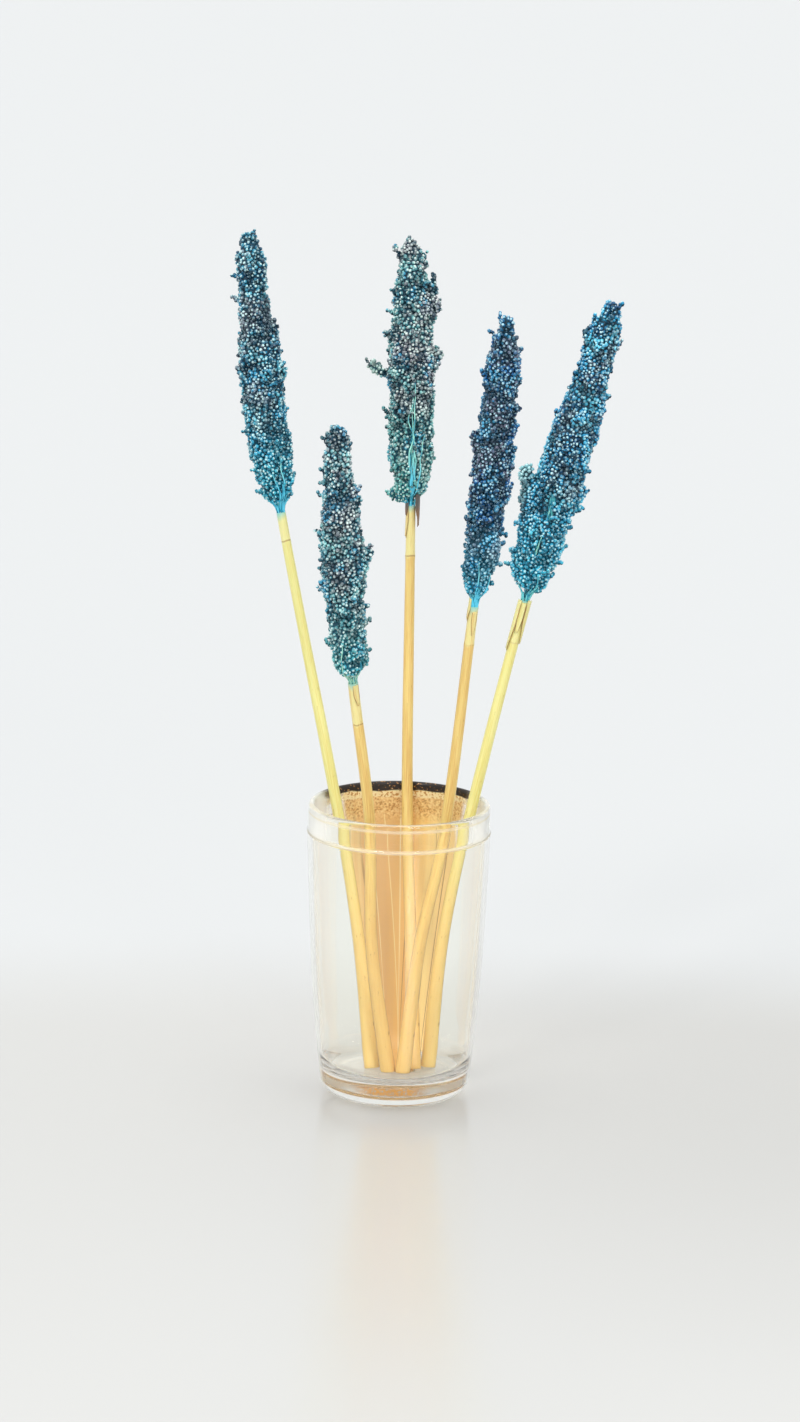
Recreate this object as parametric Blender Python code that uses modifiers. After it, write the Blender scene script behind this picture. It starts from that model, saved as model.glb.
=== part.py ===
"""Five dyed sorghum seed heads on straw stalks, standing in a clear glass tumbler.

Metres, +Z up, the front towards -Y. The origin is the middle of the tumbler's flat underside.
Each stalk leans on the tumbler's lip. Its seed head starts where the stalk ends: a short dyed
neck, a dense body whose grains are raised from its surface, and sprigs that stick out of it.
Touching pieces keep a small clearance.
"""

import math
from dataclasses import dataclass

import bmesh
import bpy
from mathutils import Vector, noise

MM = 0.001
MERGE = 0.02 * MM

# Tumbler
GLASS_HEIGHT = 178.5 * MM
GLASS_RADIUS = 54.5 * MM
GLASS_WALL = 3.0 * MM
BASE_FLAT_RADIUS = 33 * MM
HEEL_RADIUS = 12 * MM
FLOOR_HEIGHT = 15 * MM
BAND_HEIGHT = 17 * MM  # the lip's plain band, set back from the wall below it
BAND_STEP = 0.3 * MM
BAND_SLOPE = 2 * MM
LIP_ROUND = 1.9 * MM
GLASS_STEPS = 40
# Shares of the full height, and of the widest radius, along the barrel-shaped wall
WALL_SHAPE = ((0.25, 0.888), (0.45, 0.939), (0.66, 0.972), (0.86, 0.998))

# Stalks
FOOT_RADIUS = 4.1 * MM
STALK_RIM_RADIUS = 3.35 * MM
NECK_RADIUS = 2.8 * MM
STALK_POINTS = 15
CURVE_STEPS = 16
CLEARANCE = 0.35 * MM
LEAN_GAP = 0.8 * MM
FOOT_LEAN = 0.9 * MM  # how far a leaning foot's cut end dips below its middle

# Seed heads
HEAD_SIDES = 16
RING_SPACING = 5.6 * MM
GRAIN_RISE = 2.1 * MM
GRAIN_SINK = 0.9 * MM
GRAIN_SPREAD = 0.35
GRAIN_SPREAD_SIZE = 3.3 * MM
SLIM_SPACING = 0.45
FULL_GRAIN_RADIUS = 9 * MM
NECK_SHARE = 0.028
RADIUS_STATIONS = (0.06, 0.2, 0.5, 0.85, 1.0)
ROUND_END = 6 * MM
END_SHARE = 0.5
LUMP_SIZE = 15 * MM
LUMP_DEPTH = 0.16
SPRIG_SIDES = 5
SPRIG_RING_SPACING = 7.5 * MM
SPRIG_ROOT = 0.3
SPRIG_GRAIN_RISE = 1.3 * MM
SPRIG_TIP = 0.45
SPRIG_TAPER = 1.6
FULL_SPRIG_RADIUS = 4 * MM

STRAW = (0.80, 0.60, 0.27, 1)
TEALS = (
    (0.06, 0.20, 0.30, 1),
    (0.09, 0.24, 0.30, 1),
    (0.11, 0.26, 0.29, 1),
    (0.05, 0.14, 0.26, 1),
    (0.06, 0.26, 0.38, 1),
)


@dataclass(frozen=True)
class Sprig:
    """A twig of grains that stands out of a head.

    share is where it leaves the head's axis, azimuth 0 points to +X and 90 to +Y, and splay is
    its angle from the axis.
    """

    share: float
    azimuth: float
    length: float
    radius: float
    splay: float


@dataclass(frozen=True)
class Plant:
    """One stalk and its head, in millimetres.

    foot is where the stalk stands on the tumbler's inside floor, and lean the azimuth in degrees
    at which it leans on the lip. neck and tip are the ends of the head's axis. bend is how far the
    stalk bows to +X inside the tumbler, and bow how far the head does. radii are the head's, at
    RADIUS_STATIONS.
    """

    number: int
    foot: tuple
    lean: float
    neck: tuple
    tip: tuple
    bend: float
    bow: float
    radii: tuple
    sprigs: tuple


PLANTS = (
    Plant(
        number=1,
        foot=(-13.4, -7.0),
        lean=147.9,
        neck=(-74.0, 56.0, 341.7),
        tip=(-96.1, 87.6, 505.0),
        bend=2.5,
        bow=-2.3,
        radii=(8.8, 12.2, 13.2, 8.6, 6.0),
        sprigs=(
            Sprig(0.02, 0, 22, 4.8, 28),
            Sprig(0.36, 5, 30, 4.6, 29),
            Sprig(0.53, 350, 27, 4.2, 29),
            Sprig(0.82, 185, 19, 3.6, 26),
            Sprig(0.25, 100, 34, 5.0, 26),
        ),
    ),
    Plant(
        number=2,
        foot=(-3.7, -17.0),
        lean=247.9,
        neck=(-28.6, -56.9, 265.9),
        tip=(-40.3, -82.2, 424.2),
        bend=-4.0,
        bow=-1.4,
        radii=(9.6, 11.0, 12.8, 8.4, 6.0),
        sprigs=(
            Sprig(0.20, 184, 36, 5.2, 20),
            Sprig(0.36, 182, 22, 3.2, 43),
            Sprig(0.50, 178, 23, 3.2, 42),
            Sprig(0.33, 358, 35, 3.6, 30),
            Sprig(0.74, 184, 20, 2.6, 34),
            Sprig(0.60, 5, 24, 3.6, 31),
            Sprig(0.20, 80, 34, 5.0, 27),
        ),
    ),
    Plant(
        number=3,
        foot=(11.4, -8.0),
        lean=84.5,
        neck=(3.5, 83.9, 341.2),
        tip=(0.5, 120.0, 496.5),
        bend=0.0,
        bow=0.6,
        radii=(9.5, 13.6, 14.0, 9.4, 5.0),
        sprigs=(
            Sprig(0.43, 182, 35, 3.2, 57),
            Sprig(0.50, 355, 58, 6.2, 14),
            Sprig(0.55, 0, 38, 3.4, 28),
            Sprig(0.38, 2, 36, 4.4, 28),
            Sprig(0.52, 178, 28, 4.0, 36),
            Sprig(0.81, 185, 27, 3.0, 20),
            Sprig(0.82, 0, 19, 2.6, 36),
            Sprig(0.01, 352, 24, 5.2, 27),
            Sprig(0.05, 184, 13, 6.4, 100),
            Sprig(0.30, 95, 38, 5.0, 27),
        ),
    ),
    Plant(
        number=4,
        foot=(4.8, -20.0),
        lean=307.0,
        neck=(41.3, -56.0, 313.3),
        tip=(57.2, -81.0, 490.7),
        bend=-3.0,
        bow=0.9,
        radii=(7.5, 10.5, 11.3, 9.8, 4.0),
        sprigs=(
            Sprig(0.45, 180, 30, 4.8, 28),
            Sprig(0.66, 0, 26, 3.6, 27),
            Sprig(0.58, 355, 26, 3.8, 29),
            Sprig(0.41, 5, 29, 4.6, 24),
            Sprig(0.26, 0, 29, 4.4, 26),
            Sprig(0.08, 182, 24, 4.6, 19),
        ),
    ),
    Plant(
        number=5,
        foot=(20.0, -2.0),
        lean=16.6,
        neck=(72.3, 24.8, 297.9),
        tip=(121.1, 41.7, 475.3),
        bend=-4.2,
        bow=-0.4,
        radii=(10.8, 13.2, 14.4, 9.4, 6.2),
        sprigs=(
            Sprig(0.02, 184, 30, 6.2, 29),
            Sprig(0.04, 184, 73, 6.4, 16),
            Sprig(0.15, 356, 49, 6.4, 18),
            Sprig(0.74, 180, 32, 3.2, 25),
            Sprig(0.82, 178, 24, 3.0, 20),
            Sprig(0.79, 0, 24, 3.2, 25),
            Sprig(0.45, 265, 36, 4.8, 25),
        ),
    ),
)


def clear_scene():
    for obj in list(bpy.data.objects):
        bpy.data.objects.remove(obj, do_unlink=True)


def collection_named(name, hidden=False):
    collection = bpy.data.collections.new(name)
    bpy.context.scene.collection.children.link(collection)
    collection.hide_render = hidden
    return collection


def material_named(name, colour, roughness, transmission=0.0):
    material = bpy.data.materials.new(name)
    material.use_nodes = True
    shader = material.node_tree.nodes["Principled BSDF"]
    shader.inputs["Base Color"].default_value = colour
    shader.inputs["Roughness"].default_value = roughness
    shader.inputs["Metallic"].default_value = 0.0
    shader.inputs["Transmission Weight"].default_value = transmission
    return material


def object_from(name, mesh, collection):
    obj = bpy.data.objects.new(name, mesh)
    collection.objects.link(obj)
    return obj


def smoothed(share):
    """Eases 0 to 1 with no slope at either end."""
    return share * share * (3 - 2 * share)


def arc(middle, radius, start, end, count):
    """Points of an arc in the profile's plane, angles in degrees from +X."""
    angles = (math.radians(start + (end - start) * i / count) for i in range(count + 1))
    return [(middle[0] + radius * math.cos(a), middle[1] + radius * math.sin(a)) for a in angles]


def lip_middle_radius():
    return GLASS_RADIUS - BAND_STEP - LIP_ROUND


def glass_profile():
    """The wall's section, from the inside floor's middle over the lip to the underside's middle."""
    lip_x = lip_middle_radius()
    band_foot = GLASS_HEIGHT - BAND_HEIGHT
    heel_x = BASE_FLAT_RADIUS + HEEL_RADIUS
    wall = [(GLASS_RADIUS * radius, GLASS_HEIGHT * height) for height, radius in WALL_SHAPE]
    inner_wall = [(x - GLASS_WALL, z) for x, z in wall]
    inner_corner = (inner_wall[0][0] - HEEL_RADIUS, FLOOR_HEIGHT + HEEL_RADIUS)
    inside = [(0, FLOOR_HEIGHT)]
    inside += arc(inner_corner, HEEL_RADIUS, -90, -8, 3)
    inside += inner_wall
    inside += [(GLASS_RADIUS - GLASS_WALL, band_foot - BAND_SLOPE)]
    inside += [(lip_x - LIP_ROUND, band_foot + BAND_SLOPE)]
    lip = arc((lip_x, GLASS_HEIGHT - LIP_ROUND), LIP_ROUND, 180, 0, 5)
    outside = [(lip_x + LIP_ROUND, band_foot + BAND_SLOPE / 2), (GLASS_RADIUS, band_foot - BAND_SLOPE / 2)]
    outside += list(reversed(wall))
    outside += arc((heel_x - HEEL_RADIUS, HEEL_RADIUS), HEEL_RADIUS, 0, -90, 4)
    outside += [(0, 0)]
    return inside + lip + outside


def build_glass(collection):
    """The tumbler: its section turned round the Z axis by a Screw modifier."""
    points = glass_profile()
    mesh = bpy.data.meshes.new("glass_tumbler")
    edges = [(i, i + 1) for i in range(len(points) - 1)]
    mesh.from_pydata([(x, 0, z) for x, z in points], edges, [])
    glass = object_from("glass_tumbler", mesh, collection)
    turn = glass.modifiers.new("turn", "SCREW")
    turn.axis = "Z"
    turn.steps = GLASS_STEPS
    turn.render_steps = GLASS_STEPS
    turn.use_merge_vertices = True
    turn.merge_threshold = MERGE
    turn.use_smooth_shade = True
    mesh.materials.append(material_named("clear_glass", (0.95, 0.97, 0.96, 1), 0.03, 1.0))
    return glass


def foot_place(plant):
    x, y = plant.foot
    return Vector((x * MM, y * MM, FLOOR_HEIGHT + CLEARANCE + FOOT_LEAN))


def lip_place(plant):
    """Where the stalk's axis passes the lip that it leans on."""
    radius = lip_middle_radius() - LIP_ROUND - STALK_RIM_RADIUS - LEAN_GAP
    azimuth = math.radians(plant.lean)
    return Vector((radius * math.cos(azimuth), radius * math.sin(azimuth), GLASS_HEIGHT))


def catmull_rom(a, b, c, d, u):
    """A point between b and c of the smooth curve through a, b, c and d."""
    bend = (2 * a - 5 * b + 4 * c - d) * u**2
    twist = (3 * b - a - 3 * c + d) * u**3
    return 0.5 * (2 * b + (c - a) * u + bend + twist)


def through(points):
    """A smooth line through the given points, with CURVE_STEPS steps in each gap."""
    ends = [points[0] * 2 - points[1], *points, points[-1] * 2 - points[-2]]
    made = []
    for a, b, c, d in zip(ends, ends[1:], ends[2:], ends[3:]):
        made += [catmull_rom(a, b, c, d, step / CURVE_STEPS) for step in range(CURVE_STEPS)]
    return [*made, points[-1]]


def axis_of(plant):
    """The stalk's axis and its head's, which are two stretches of one smooth line."""
    foot, lip = foot_place(plant), lip_place(plant)
    neck, tip = Vector(plant.neck) * MM, Vector(plant.tip) * MM
    inside = (foot + lip) / 2 + Vector((plant.bend, 0, 0)) * MM
    middle = (neck + tip) / 2 + Vector((plant.bow, 0, 0)) * MM
    line = through([foot, inside, lip, neck, middle, tip])
    stalk_steps = 3 * CURVE_STEPS
    return line[: stalk_steps + 1], line[stalk_steps:]


def along(points, share):
    """The point at this share of a polyline's length, and its direction there."""
    lengths = [(b - a).length for a, b in zip(points, points[1:])]
    left = share * sum(lengths)
    for a, b, length in zip(points, points[1:], lengths):
        if left <= length or b is points[-1]:
            return a.lerp(b, left / length), (b - a).normalized()
        left -= length


def stalk_radius(height):
    """Thickest at the foot, slimmer at the lip, and slimmest a lip's height above it."""
    rise = height / GLASS_HEIGHT
    radius = FOOT_RADIUS + (STALK_RIM_RADIUS - FOOT_RADIUS) * min(1.0, rise)
    return radius + (NECK_RADIUS - STALK_RIM_RADIUS) * smoothed(min(1.0, max(0.0, rise - 1)))


def build_stalk(plant, material, collection):
    """A straw stalk as a bevelled curve, which ends just below its head's neck."""
    line, _ = axis_of(plant)
    line[-1] -= (line[-1] - line[-2]).normalized() * CLEARANCE
    curve = bpy.data.curves.new(f"stalk_{plant.number}", "CURVE")
    curve.dimensions = "3D"
    curve.bevel_depth = FOOT_RADIUS
    curve.bevel_resolution = 2
    curve.use_fill_caps = True
    spline = curve.splines.new("POLY")
    spline.points.add(STALK_POINTS - 1)
    for i, point in enumerate(spline.points):
        place, _ = along(line, i / (STALK_POINTS - 1))
        point.co = (*place, 1)
        point.radius = stalk_radius(place.z) / FOOT_RADIUS
    curve.materials.append(material)
    return object_from(f"stalk_{plant.number}", curve, collection)


def head_radius(plant, share):
    """The head's mean radius at a share of its length, eased between its stations."""
    share = min(share, 1.0)
    stations = [(NECK_SHARE, NECK_RADIUS), *zip(RADIUS_STATIONS, (r * MM for r in plant.radii))]
    if share <= NECK_SHARE:
        return NECK_RADIUS
    for (a, low), (b, high) in zip(stations, stations[1:]):
        if share <= b:
            return low + (high - low) * smoothed((share - a) / (b - a))
    return stations[-1][1]


def rounding(reach, end_reach):
    """Shrinks the radius over the last stretch before a blunt end, along a quarter of an ellipse."""
    near = max(0.0, 1 - (end_reach - reach) / ROUND_END)
    return math.sqrt(1 - (1 - END_SHARE**2) * near**2)


def frame_at(line, share):
    """A place on the axis and the two directions across it, the first nearest +X."""
    place, direction = along(line, share)
    across = Vector((1, 0, 0)) - direction * direction.x
    across.normalize()
    return place, across, direction.cross(across), direction


def fullness(radius):
    """How full-sized the grains are where the head has this radius."""
    return min(1.0, radius / FULL_GRAIN_RADIUS)


def ring_shares(plant, length):
    """Where the body's rings lie: the neck, then rings that close up where the head is slim."""
    shares = [NECK_SHARE]
    while shares[-1] < 1:
        full = fullness(head_radius(plant, shares[-1] + NECK_SHARE / 2))
        shares.append(shares[-1] + RING_SPACING * (SLIM_SPACING + (1 - SLIM_SPACING) * full) / length)
    fit = (1 - NECK_SHARE) / (shares[-1] - NECK_SHARE)
    return [0.0, *(NECK_SHARE + (share - NECK_SHARE) * fit for share in shares)]


def tube(rings, sides, point_at):
    """A tube of quads with open ends, whose rings are each turned half a step from the last."""
    mesh = bmesh.new()
    bmesh.ops.create_grid(mesh, x_segments=sides, y_segments=rings - 1, size=1)
    for vert in mesh.verts:
        ring = round((vert.co.y + 1) / 2 * (rings - 1))
        side = round((vert.co.x + 1) / 2 * sides) % sides
        vert.co = point_at(ring, math.tau * (side + ring / 2) / sides)
    bmesh.ops.remove_doubles(mesh, verts=mesh.verts, dist=MERGE)
    bmesh.ops.recalc_face_normals(mesh, faces=mesh.faces)
    return mesh


def raise_grains(mesh, faces, rise_of):
    """Gives each face a new middle point and lifts it, so that each face carries one grain."""
    for face in faces:
        rise = rise_of(face.calc_center_median())
        poked = bmesh.ops.poke(mesh, faces=[face], offset=0)
        normal = sum((f.normal for f in poked["faces"]), Vector()).normalized()
        poked["verts"][0].co += normal * rise


def closed_mesh(mesh, name):
    """Fills the tube's two open ends and turns it into a mesh that faces outwards."""
    bmesh.ops.holes_fill(mesh, edges=[e for e in mesh.edges if e.is_boundary])
    bmesh.ops.triangulate(mesh, faces=mesh.faces)
    bmesh.ops.recalc_face_normals(mesh, faces=mesh.faces)
    made = bpy.data.meshes.new(name)
    mesh.to_mesh(made)
    mesh.free()
    return made


def head_body(plant, line):
    """The dense body: a lumpy tube round the axis whose faces are raised into grains."""
    length = sum((b - a).length for a, b in zip(line, line[1:]))
    shares = ring_shares(plant, length)
    neck_top = shares[1]

    def point_at(ring, azimuth):
        share = shares[ring]
        place, across, behind, _ = frame_at(line, share)
        outward = across * math.cos(azimuth) + behind * math.sin(azimuth)
        radius = head_radius(plant, share) * rounding(share * length, length)
        if share > neck_top:
            lump = noise.noise((place + outward * radius) / LUMP_SIZE + Vector((plant.number, 0, 0)))
            radius = radius * (1 + LUMP_DEPTH * lump) - GRAIN_SINK * fullness(radius)
        return place + outward * radius

    mesh = tube(len(shares), HEAD_SIDES, point_at)
    neck_place, _, _, direction = frame_at(line, neck_top)
    grown = [f for f in mesh.faces if (f.calc_center_median() - neck_place).dot(direction) > 0]

    def rise_of(middle):
        share = max(0.0, (middle - line[0]).dot((line[-1] - line[0]).normalized()) / length)
        vary = 1 + GRAIN_SPREAD * noise.noise(middle / GRAIN_SPREAD_SIZE)
        return GRAIN_RISE * fullness(head_radius(plant, share)) * vary

    raise_grains(mesh, grown, rise_of)
    return closed_mesh(mesh, f"head_{plant.number}")


def sprig_mesh(plant, line, sprig, name):
    """A slim straight twig of grains, from inside the head outwards, tapering to its tip."""
    root, across, behind, direction = frame_at(line, sprig.share)
    azimuth = math.radians(sprig.azimuth)
    outward = across * math.cos(azimuth) + behind * math.sin(azimuth)
    splay = math.radians(sprig.splay)
    heading = direction * math.cos(splay) + outward * math.sin(splay)
    level = heading.cross(direction).normalized()
    upright = level.cross(heading)
    length = sprig.length * MM
    gaps = max(2, round((1 - SPRIG_ROOT) * length / SPRIG_RING_SPACING))

    def point_at(ring, turn):
        share = ring / gaps
        width = sprig.radius * MM * (1 - (1 - SPRIG_TIP) * share**SPRIG_TAPER)
        place = root + heading * length * (SPRIG_ROOT + (1 - SPRIG_ROOT) * share)
        return place + (level * math.cos(turn) + upright * math.sin(turn)) * width

    mesh = tube(gaps + 1, SPRIG_SIDES, point_at)
    rise = SPRIG_GRAIN_RISE * min(1.0, sprig.radius * MM / FULL_SPRIG_RADIUS)
    raise_grains(mesh, list(mesh.faces), lambda middle: rise)
    return closed_mesh(mesh, name)


def unite(body, pieces):
    """Joins the pieces of a hidden collection to the body in one Boolean union, and removes them."""
    union = body.modifiers.new("union", "BOOLEAN")
    union.operation = "UNION"
    union.operand_type = "COLLECTION"
    union.collection = pieces
    union.solver = "EXACT"
    bpy.context.view_layer.update()
    graph = bpy.context.evaluated_depsgraph_get()
    joined = bpy.data.meshes.new_from_object(body.evaluated_get(graph))
    body.modifiers.clear()
    body.data = joined
    for piece in list(pieces.objects):
        bpy.data.objects.remove(piece, do_unlink=True)
    bpy.data.collections.remove(pieces)


def build_head(plant, material, collection):
    """One seed head: neck, body and sprigs joined into a single solid."""
    _, line = axis_of(plant)
    head = object_from(f"head_{plant.number}", head_body(plant, line), collection)
    sprigs = collection_named(f"sprigs_{plant.number}", hidden=True)
    for i, sprig in enumerate(plant.sprigs, start=1):
        name = f"sprig_{plant.number}_{i}"
        twig = object_from(name, sprig_mesh(plant, line, sprig, name), sprigs)
        twig.hide_render = True
        twig.display_type = "WIRE"
    unite(head, sprigs)
    head.data.materials.clear()
    head.data.materials.append(material)
    return head


def main():
    clear_scene()
    parts = collection_named("sorghum_in_tumbler")
    build_glass(parts)
    straw = material_named("straw_stalk", STRAW, 0.55)
    for plant, teal in zip(PLANTS, TEALS):
        build_stalk(plant, straw, parts)
        build_head(plant, material_named(f"dyed_grain_{plant.number}", teal, 0.35), parts)


main()
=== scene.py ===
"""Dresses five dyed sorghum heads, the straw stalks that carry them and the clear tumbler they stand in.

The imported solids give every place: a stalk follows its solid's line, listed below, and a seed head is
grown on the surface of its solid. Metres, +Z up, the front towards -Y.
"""

import logging
import math
from dataclasses import dataclass, field, replace
from enum import Enum

import bmesh
import bpy
from mathutils import Matrix, Vector, noise
from mathutils.bvhtree import BVHTree


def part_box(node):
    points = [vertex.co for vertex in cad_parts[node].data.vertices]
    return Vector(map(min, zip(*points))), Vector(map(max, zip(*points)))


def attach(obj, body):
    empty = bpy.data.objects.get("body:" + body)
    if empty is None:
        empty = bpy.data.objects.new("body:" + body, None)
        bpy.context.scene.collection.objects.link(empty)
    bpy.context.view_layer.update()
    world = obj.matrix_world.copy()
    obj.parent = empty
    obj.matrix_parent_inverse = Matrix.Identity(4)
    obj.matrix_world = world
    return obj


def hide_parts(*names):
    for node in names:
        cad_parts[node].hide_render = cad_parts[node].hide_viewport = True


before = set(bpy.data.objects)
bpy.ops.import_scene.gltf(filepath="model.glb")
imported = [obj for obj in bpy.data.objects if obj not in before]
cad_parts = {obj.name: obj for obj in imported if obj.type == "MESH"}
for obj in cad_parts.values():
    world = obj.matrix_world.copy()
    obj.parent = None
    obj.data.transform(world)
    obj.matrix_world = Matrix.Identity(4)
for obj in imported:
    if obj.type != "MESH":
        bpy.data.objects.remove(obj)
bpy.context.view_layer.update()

MM = 0.001
BODY = "root"
RIGHT = Vector((1, 0, 0))
Colour = tuple[float, float, float, float]

log = logging.getLogger("sorghum")
logging.basicConfig(level=logging.INFO, format="%(name)s: %(message)s")


class Slot(Enum):
    """The record's material slots."""

    GLASS = "clear_glass"
    STRAW = "straw_stalk"
    GRAIN = "dyed_grain"


def srgb(red: int, green: int, blue: int) -> Colour:
    """Turns a display colour, 0 to 255, into the linear colour that shaders take."""
    shares = (value / 255 for value in (red, green, blue))
    return (*(s / 12.92 if s <= 0.04045 else ((s + 0.055) / 1.055) ** 2.4 for s in shares), 1.0)


def eased(share: float) -> float:
    """Eases 0 to 1 with no slope at either end, and holds outside them."""
    share = min(1.0, max(0.0, share))
    return share * share * (3 - 2 * share)


class Term:
    """A node's output. Sums with it add Math nodes."""

    def __init__(self, graph: "Graph", node: bpy.types.Node, name: str = "a") -> None:
        """Takes the output of that name, or the first one."""
        self.graph, self.node, self.name = graph, node, name

    def __getitem__(self, name: str) -> "Term":
        """Another output of the node."""
        return Term(self.graph, self.node, name)

    def __add__(self, other: object) -> "Term":
        """The sum."""
        return self.graph.math("ADD", self, other)

    def __sub__(self, other: object) -> "Term":
        """The difference."""
        return self.graph.math("SUBTRACT", self, other)

    def __rsub__(self, other: object) -> "Term":
        """The difference from a number."""
        return self.graph.math("SUBTRACT", other, self)

    def __mul__(self, other: object) -> "Term":
        """The product."""
        return self.graph.math("MULTIPLY", self, other)

    def __truediv__(self, other: object) -> "Term":
        """The quotient."""
        return self.graph.math("DIVIDE", self, other)

    def __abs__(self) -> "Term":
        """The size without its sign."""
        return self.graph.math("ABSOLUTE", self)


class Graph:
    """A node tree that is filled by short calls."""

    ORDER = ("a", "b", "c")

    def __init__(self, tree: bpy.types.NodeTree) -> None:
        """Wraps a shader or geometry tree."""
        self.tree = tree

    def find(self, sockets: object, name: str) -> bpy.types.NodeSocket:
        """Finds a socket that is in use.

        Args:
            sockets: A node's inputs or outputs.
            name: Its name with _ for each space, or a, b or c for the first, second or third.

        Returns:
            The socket.
        """
        live = [socket for socket in sockets if socket.enabled]
        if name in self.ORDER:
            return live[self.ORDER.index(name)]
        return next(socket for socket in live if socket.name == name.replace("_", " "))

    def add(self, kind: str, settings: dict[str, object] | None = None, **inputs: object) -> Term:
        """Adds a node and feeds its inputs.

        Args:
            kind: The node's type.
            settings: The node's own settings by name.
            **inputs: A value or another node's output for each input named.

        Returns:
            The new node's first output.
        """
        node = self.tree.nodes.new(kind)
        for name, value in (settings or {}).items():
            setattr(node, name, value)
        for name, value in inputs.items():
            self.feed(self.find(node.inputs, name), value)
        return Term(self, node)

    def feed(self, target: bpy.types.NodeSocket, value: object) -> None:
        """Links or sets one input.

        Args:
            target: The input.
            value: Another node's output or a plain value.
        """
        if isinstance(value, Term):
            self.tree.links.new(self.find(value.node.outputs, value.name), target)
        else:
            target.default_value = value

    def shade(self, shader: str = "Principled BSDF", **inputs: object) -> None:
        """Feeds inputs, with _ for each space, of the tree's own shader."""
        for name, value in inputs.items():
            self.feed(self.tree.nodes[shader].inputs[name.replace("_", " ")], value)

    def bump(self, height: Term, depth: float) -> None:
        """Puts fine relief on the shader: the height from 0 to 1, and how deep it is in metres."""
        self.shade(Normal=self.add("ShaderNodeBump", Height=height, Distance=depth, Strength=1.0))

    def math(self, operation: str, *values: object, clamp: bool = False) -> Term:
        """Adds a Math node, whose result may be kept between 0 and 1."""
        inputs = dict(zip(self.ORDER, values))
        return self.add("ShaderNodeMath", {"operation": operation, "use_clamp": clamp}, **inputs)

    def most(self, first: Term, *others: Term) -> Term:
        """Finds the greatest of several values.

        Args:
            first: One value.
            *others: The rest.

        Returns:
            The greatest.
        """
        for other in others:
            first = self.math("MAXIMUM", first, other)
        return first

    def mix(self, share: object, a: object, b: object) -> Term:
        """Mixes two colours; share is how much of the second one shows."""
        return self.add("ShaderNodeMix", {"data_type": "RGBA"}, Factor=share, A=a, B=b)["Result"]

    def ramp(self, share: Term, *stops: tuple[float, Colour]) -> Term:
        """Looks a colour up.

        Args:
            share: What is looked up.
            *stops: Each stop's place and colour, in order.

        Returns:
            The colour.
        """
        made = self.add("ShaderNodeValToRGB", Fac=share)
        elements = made.node.color_ramp.elements
        while len(elements) < len(stops):
            elements.new(0.5)
        for element, (position, colour) in zip(elements, stops):
            element.position, element.color = position, colour
        return made

    def band(self, value: Term, low: float, high: float) -> Term:
        """Turns a value into 0 at low and 1 at high, eased between them."""
        settings = {"interpolation_type": "SMOOTHSTEP"}
        return self.add("ShaderNodeMapRange", settings, Value=value, From_Min=low, From_Max=high)

    def noise(self, place: Term, scale: float, detail: float, stretch: tuple[float, ...] = ()) -> Term:
        """Adds a Noise texture, stretched along the axes where it says so."""
        place = self.add("ShaderNodeMapping", Vector=place, Scale=stretch) if stretch else place
        return self.add("ShaderNodeTexNoise", Vector=place, Scale=scale, Detail=detail)

    def parts(self, vector: Term) -> tuple[Term, Term, Term]:
        """Splits a vector into its three numbers."""
        split = self.add("ShaderNodeSeparateXYZ", Vector=vector)
        return split["X"], split["Y"], split["Z"]

    def attributes(self, *names: str) -> list[Term]:
        """The mesh's own numbers, for a material."""
        return [self.add("ShaderNodeAttribute", {"attribute_name": name})["Fac"] for name in names]

    def place(self) -> Term:
        """The place on the piece, in its own coordinates."""
        return self.add("ShaderNodeTexCoord")["Object"]

    def lie(self) -> Term:
        """The place on the UV map named lie: a share of the way round, and metres along."""
        return self.add("ShaderNodeUVMap", {"uv_map": "lie"})

    def facing(self) -> Term:
        """How edge-on the surface is seen."""
        return self.add("ShaderNodeLayerWeight", Blend=0.5)["Facing"]

    def geo(self, kind: str, settings: dict[str, object] | None = None, **inputs: object) -> Term:
        """Adds a Geometry Nodes node, as add does."""
        return self.add(f"GeometryNode{kind}", settings, **inputs)

    def vector(self, operation: str, **inputs: object) -> Term:
        """Adds a Vector Math node."""
        return self.add("ShaderNodeVectorMath", {"operation": operation}, **inputs)

    def random(self, kind: str, low: object, high: object, draw: Term, **inputs: object) -> Term:
        """Adds a Random Value node between low and high."""
        settings = {"data_type": kind}
        return self.add("FunctionNodeRandomValue", settings, Min=low, Max=high, Seed=draw, **inputs)

    def named(self, name: str, kind: str = "FLOAT") -> Term:
        """The geometry's own value of that name."""
        return self.geo("InputNamedAttribute", {"data_type": kind}, Name=name)

    def store(
        self, shape: Term, name: str, value: object, domain: str = "POINT", kind: str = "FLOAT"
    ) -> Term:
        """Keeps a value under a name on each element of a domain."""
        settings = {"data_type": kind, "domain": domain}
        return self.geo("StoreNamedAttribute", settings, Geometry=shape, Name=name, Value=value)

    def joined(self, *shapes: Term) -> Term:
        """Joins shapes in one geometry.

        Args:
            *shapes: Each shape, in the order of linking.

        Returns:
            The whole.
        """
        whole = self.geo("JoinGeometry")
        for shape in shapes:
            self.feed(whole.node.inputs["Geometry"], shape)
        return whole


@dataclass(frozen=True)
class Finish:
    """A surface finish, which makes its Principled material."""

    name: str

    def material(self) -> bpy.types.Material:
        """Builds the material.

        Returns:
            The new material.
        """
        made = bpy.data.materials.new(self.name)
        made.use_nodes = True
        self.paint(Graph(made.node_tree))
        return made

    def paint(self, graph: Graph) -> None:
        """Sets the shader up; each finish has its own way."""
        raise NotImplementedError


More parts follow.
